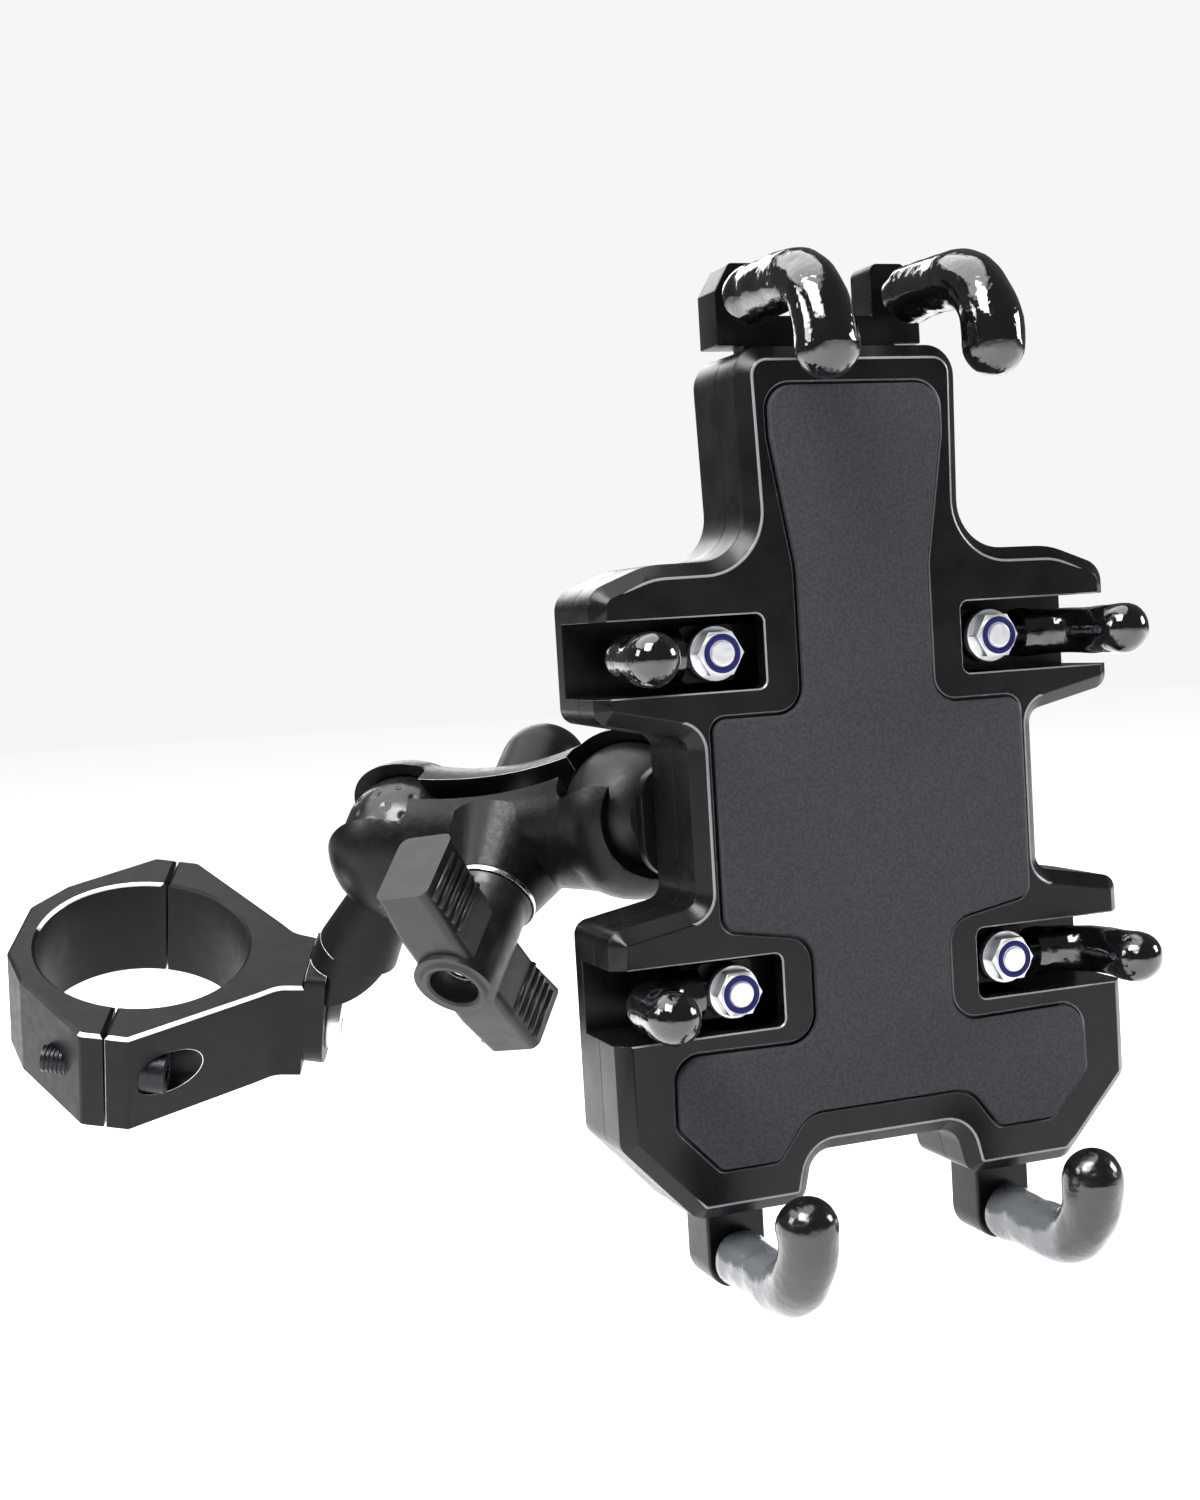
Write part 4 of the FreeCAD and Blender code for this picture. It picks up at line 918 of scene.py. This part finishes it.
def build_stage(look):
    """The floor, the lights and the camera."""
    world = bpy.data.worlds.new("Studio")
    bpy.context.scene.world = world
    world.use_nodes = True
    tree = world.node_tree
    # The backdrop is pale behind the object but throws little light on it, as in a dark tent.
    seen = add(tree, "ShaderNodeLightPath").outputs["Is Camera Ray"]
    strength = add(tree, "ShaderNodeMapRange", {"Value": seen, "To Min": look.fill, "To Max": 1.0})
    background = tree.nodes["Background"]
    background.inputs["Color"].default_value = (*look.backdrop, 1)
    tree.links.new(strength.outputs["Result"], background.inputs["Strength"])

    # The floor is low enough for the cradle to swing without dipping into it.
    level = cad_box[0].z - 40 * MM
    work = bmesh.new()
    bmesh.ops.create_circle(work, cap_ends=True, radius=3.0, segments=96,
                            matrix=Matrix.Translation((0, 0, level)))
    mesh = bpy.data.meshes.new("floor")
    work.to_mesh(mesh)
    work.free()
    # Matt painted board: pale and plain.
    mesh.materials.append(surface("pale board", linear("#f4f4f4"), 0.9))
    link("floor", mesh)

    middle = (cad_box[0] + cad_box[1]) / 2
    for name, offset, size, power in SOFTBOXES:
        light = bpy.data.lights.new(name, "AREA")
        light.size = size
        light.energy = power
        lamp = link(name, light)
        lamp.location = middle + Vector(offset)
        lamp.rotation_euler = (-Vector(offset)).to_track_quat("-Z", "Y").to_euler()

    # A broad, even light from above keeps the floor pale out to its edge.
    sky = bpy.data.lights.new("ceiling", "SUN")
    sky.energy = 3.1
    sky.angle = math.radians(70)
    ceiling = link("ceiling", sky)
    ceiling.rotation_euler = (math.radians(-12), math.radians(-14), 0)

    camera = link("camera", bpy.data.cameras.new("camera"))
    forward = Vector(CAMERA_FORWARD).normalized()
    right = forward.cross(Vector(CAMERA_UP)).normalized()
    place = Vector(CAMERA_PLACE_MM) * MM
    camera.matrix_world = basis(place, right, right.cross(forward), -forward)
    camera.data.lens = 48
    camera.data.sensor_width = 36
    camera.data.clip_start = 0.01
    bpy.context.scene.camera = camera
    bpy.context.scene.view_settings.view_transform = "Standard"


# ---------------------------------------------------------------- add-on

def length(name, words, millimetres):
    """A length that a user may change."""
    return FloatProperty(name=name, description=words, default=millimetres * MM, min=0, unit="LENGTH")


def colour(name, words, code):
    """A colour that a user may change."""
    return FloatVectorProperty(name=name, description=words, default=linear(code), min=0, max=1,
                               subtype="COLOR")


class PhoneMountSettings(bpy.types.PropertyGroup):
    """Sizes and colours that a user may change."""
    end_bend: length("End claws' bend", "Bend of the top and bottom claws", 11.6)
    side_bend: length("Side claws' bend", "Bend of the side claws", 8.0)
    nylon_radius: length("Nylon ring", "Radius of the lock nuts' nylon ring", 2.65)
    nylon_wall: length("Nylon thickness", "Half the thickness of the nylon ring", 0.55)
    # The lip's width is that of its painted highlight.
    lip_highlight_width: length("Lip", "Width of the painted highlight on the front shell's lip", 0.42)
    rim_width: length("Arm's rim", "Width of the bright rim on the arm's halves", 0.4)
    rib_pitch: length("Rib spacing", "From one rib of the knob's wings to the next", 1.95)
    rib_radius: length("Rib thickness", "Half the thickness of a rib", 0.6)
    rib_count: IntProperty(name="Ribs", description="Ribs on each face of the knob's wings", default=5, min=1)
    dimples: IntProperty(name="Dimples", description="Dimples on the lower ball", default=110, min=0)
    dimple_radius: length("Dimple radius", "Radius of a dimple in the ball's rubber", 1.15)
    dimple_depth: length("Dimple depth", "Depth of a dimple", 0.35)
    # Where the lower claws' painted grey reflection begins, back from the tips.
    reflection_start: length("Black tip", "How far the lower claws' black tips reach back", 9.0)
    ring_colour: colour("Ring colour", "Anodised ring and bracket", "#0c0d0e")
    arm_colour: colour("Arm colour", "Powder coat on the arm", "#080809")
    knob_colour: colour("Knob colour", "Nylon of the knob", "#151517")
    shell_colour: colour("Shell colour", "ABS of the cradle's shells", "#0b0b0c")
    pad_colour: colour("Pad colour", "Rubber of the cushion pad", "#292b2f")
    vinyl_colour: colour("Claw colour", "Dipped vinyl on the claws", "#08080a")
    # Colour of the painted grey reflection on the lower claws.
    reflection_colour: colour("Claw reflection colour", "Painted grey reflection on the lower claws", "#55585c")
    nylon_colour: colour("Nylon colour", "Nylon ring in the lock nuts", "#0a0f4a")
    backdrop: colour("Backdrop", "Studio round the object", "#f6f6f6")
    fill: FloatProperty(
        name="Fill light", description="How much the studio's surroundings light the object",
        default=0.12, min=0)


class PHONEMOUNT_OT_materials(bpy.types.Operator):
    """Makes every finish of the mount"""
    bl_idname = "phonemount.materials"
    bl_label = "Finishes"

    def execute(self, context):
        finishes.update(make_materials(context.scene.phone_mount))
        return {"FINISHED"}


def operator(key, label, words, build):
    """An operator class that builds one group of pieces."""
    def execute(self, context):
        build(context.scene.phone_mount)
        return {"FINISHED"}
    return type("PHONEMOUNT_OT_" + key, (bpy.types.Operator,), {
        "__doc__": words, "bl_idname": "phonemount." + key, "bl_label": label, "execute": execute})


OPERATORS = (
    PHONEMOUNT_OT_materials,
    operator("ring", "Split ring", "Builds the split ring and its screws", lambda settings: build_ring()),
    operator("bracket", "Bracket", "Builds the elbow bracket and its screw",
             lambda settings: build_bracket()),
    operator("balls", "Balls", "Builds the balls and their rubber skins", build_balls),
    operator("arm", "Arm", "Builds the arm's halves, bolt and spring", build_arm),
    operator("knob", "Knob", "Builds the wing knob and its metal parts", build_knob),
    operator("shells", "Cradle", "Builds the shells, the pad and the base plate", build_shells),
    operator("sliders", "Sliders", "Builds the sliders and lugs", lambda settings: build_sliders()),
    operator("claws", "Claws", "Builds the claws and their nuts", build_claws),
    operator("stage", "Studio", "Builds the floor, the lights and the camera", build_stage),
)


class PHONEMOUNT_PT_panel(bpy.types.Panel):
    """Lists the mount's pieces"""
    bl_label = "Phone mount"
    bl_idname = "PHONEMOUNT_PT_panel"
    bl_space_type = "VIEW_3D"
    bl_region_type = "UI"
    bl_category = "Phone mount"

    def draw(self, context):
        settings = context.scene.phone_mount
        for name in PhoneMountSettings.__annotations__:
            self.layout.prop(settings, name)
        for kind in OPERATORS:
            self.layout.operator(kind.bl_idname)


def register():
    bpy.utils.register_class(PhoneMountSettings)
    for kind in OPERATORS:
        bpy.utils.register_class(kind)
    bpy.utils.register_class(PHONEMOUNT_PT_panel)
    bpy.types.Scene.phone_mount = PointerProperty(type=PhoneMountSettings)


def unregister():
    del bpy.types.Scene.phone_mount
    bpy.utils.unregister_class(PHONEMOUNT_PT_panel)
    for kind in reversed(OPERATORS):
        bpy.utils.unregister_class(kind)
    bpy.utils.unregister_class(PhoneMountSettings)


def main():
    register()
    for kind in OPERATORS:
        group, name = kind.bl_idname.split(".")
        getattr(getattr(bpy.ops, group), name)()


if __name__ == "__main__":
    main()
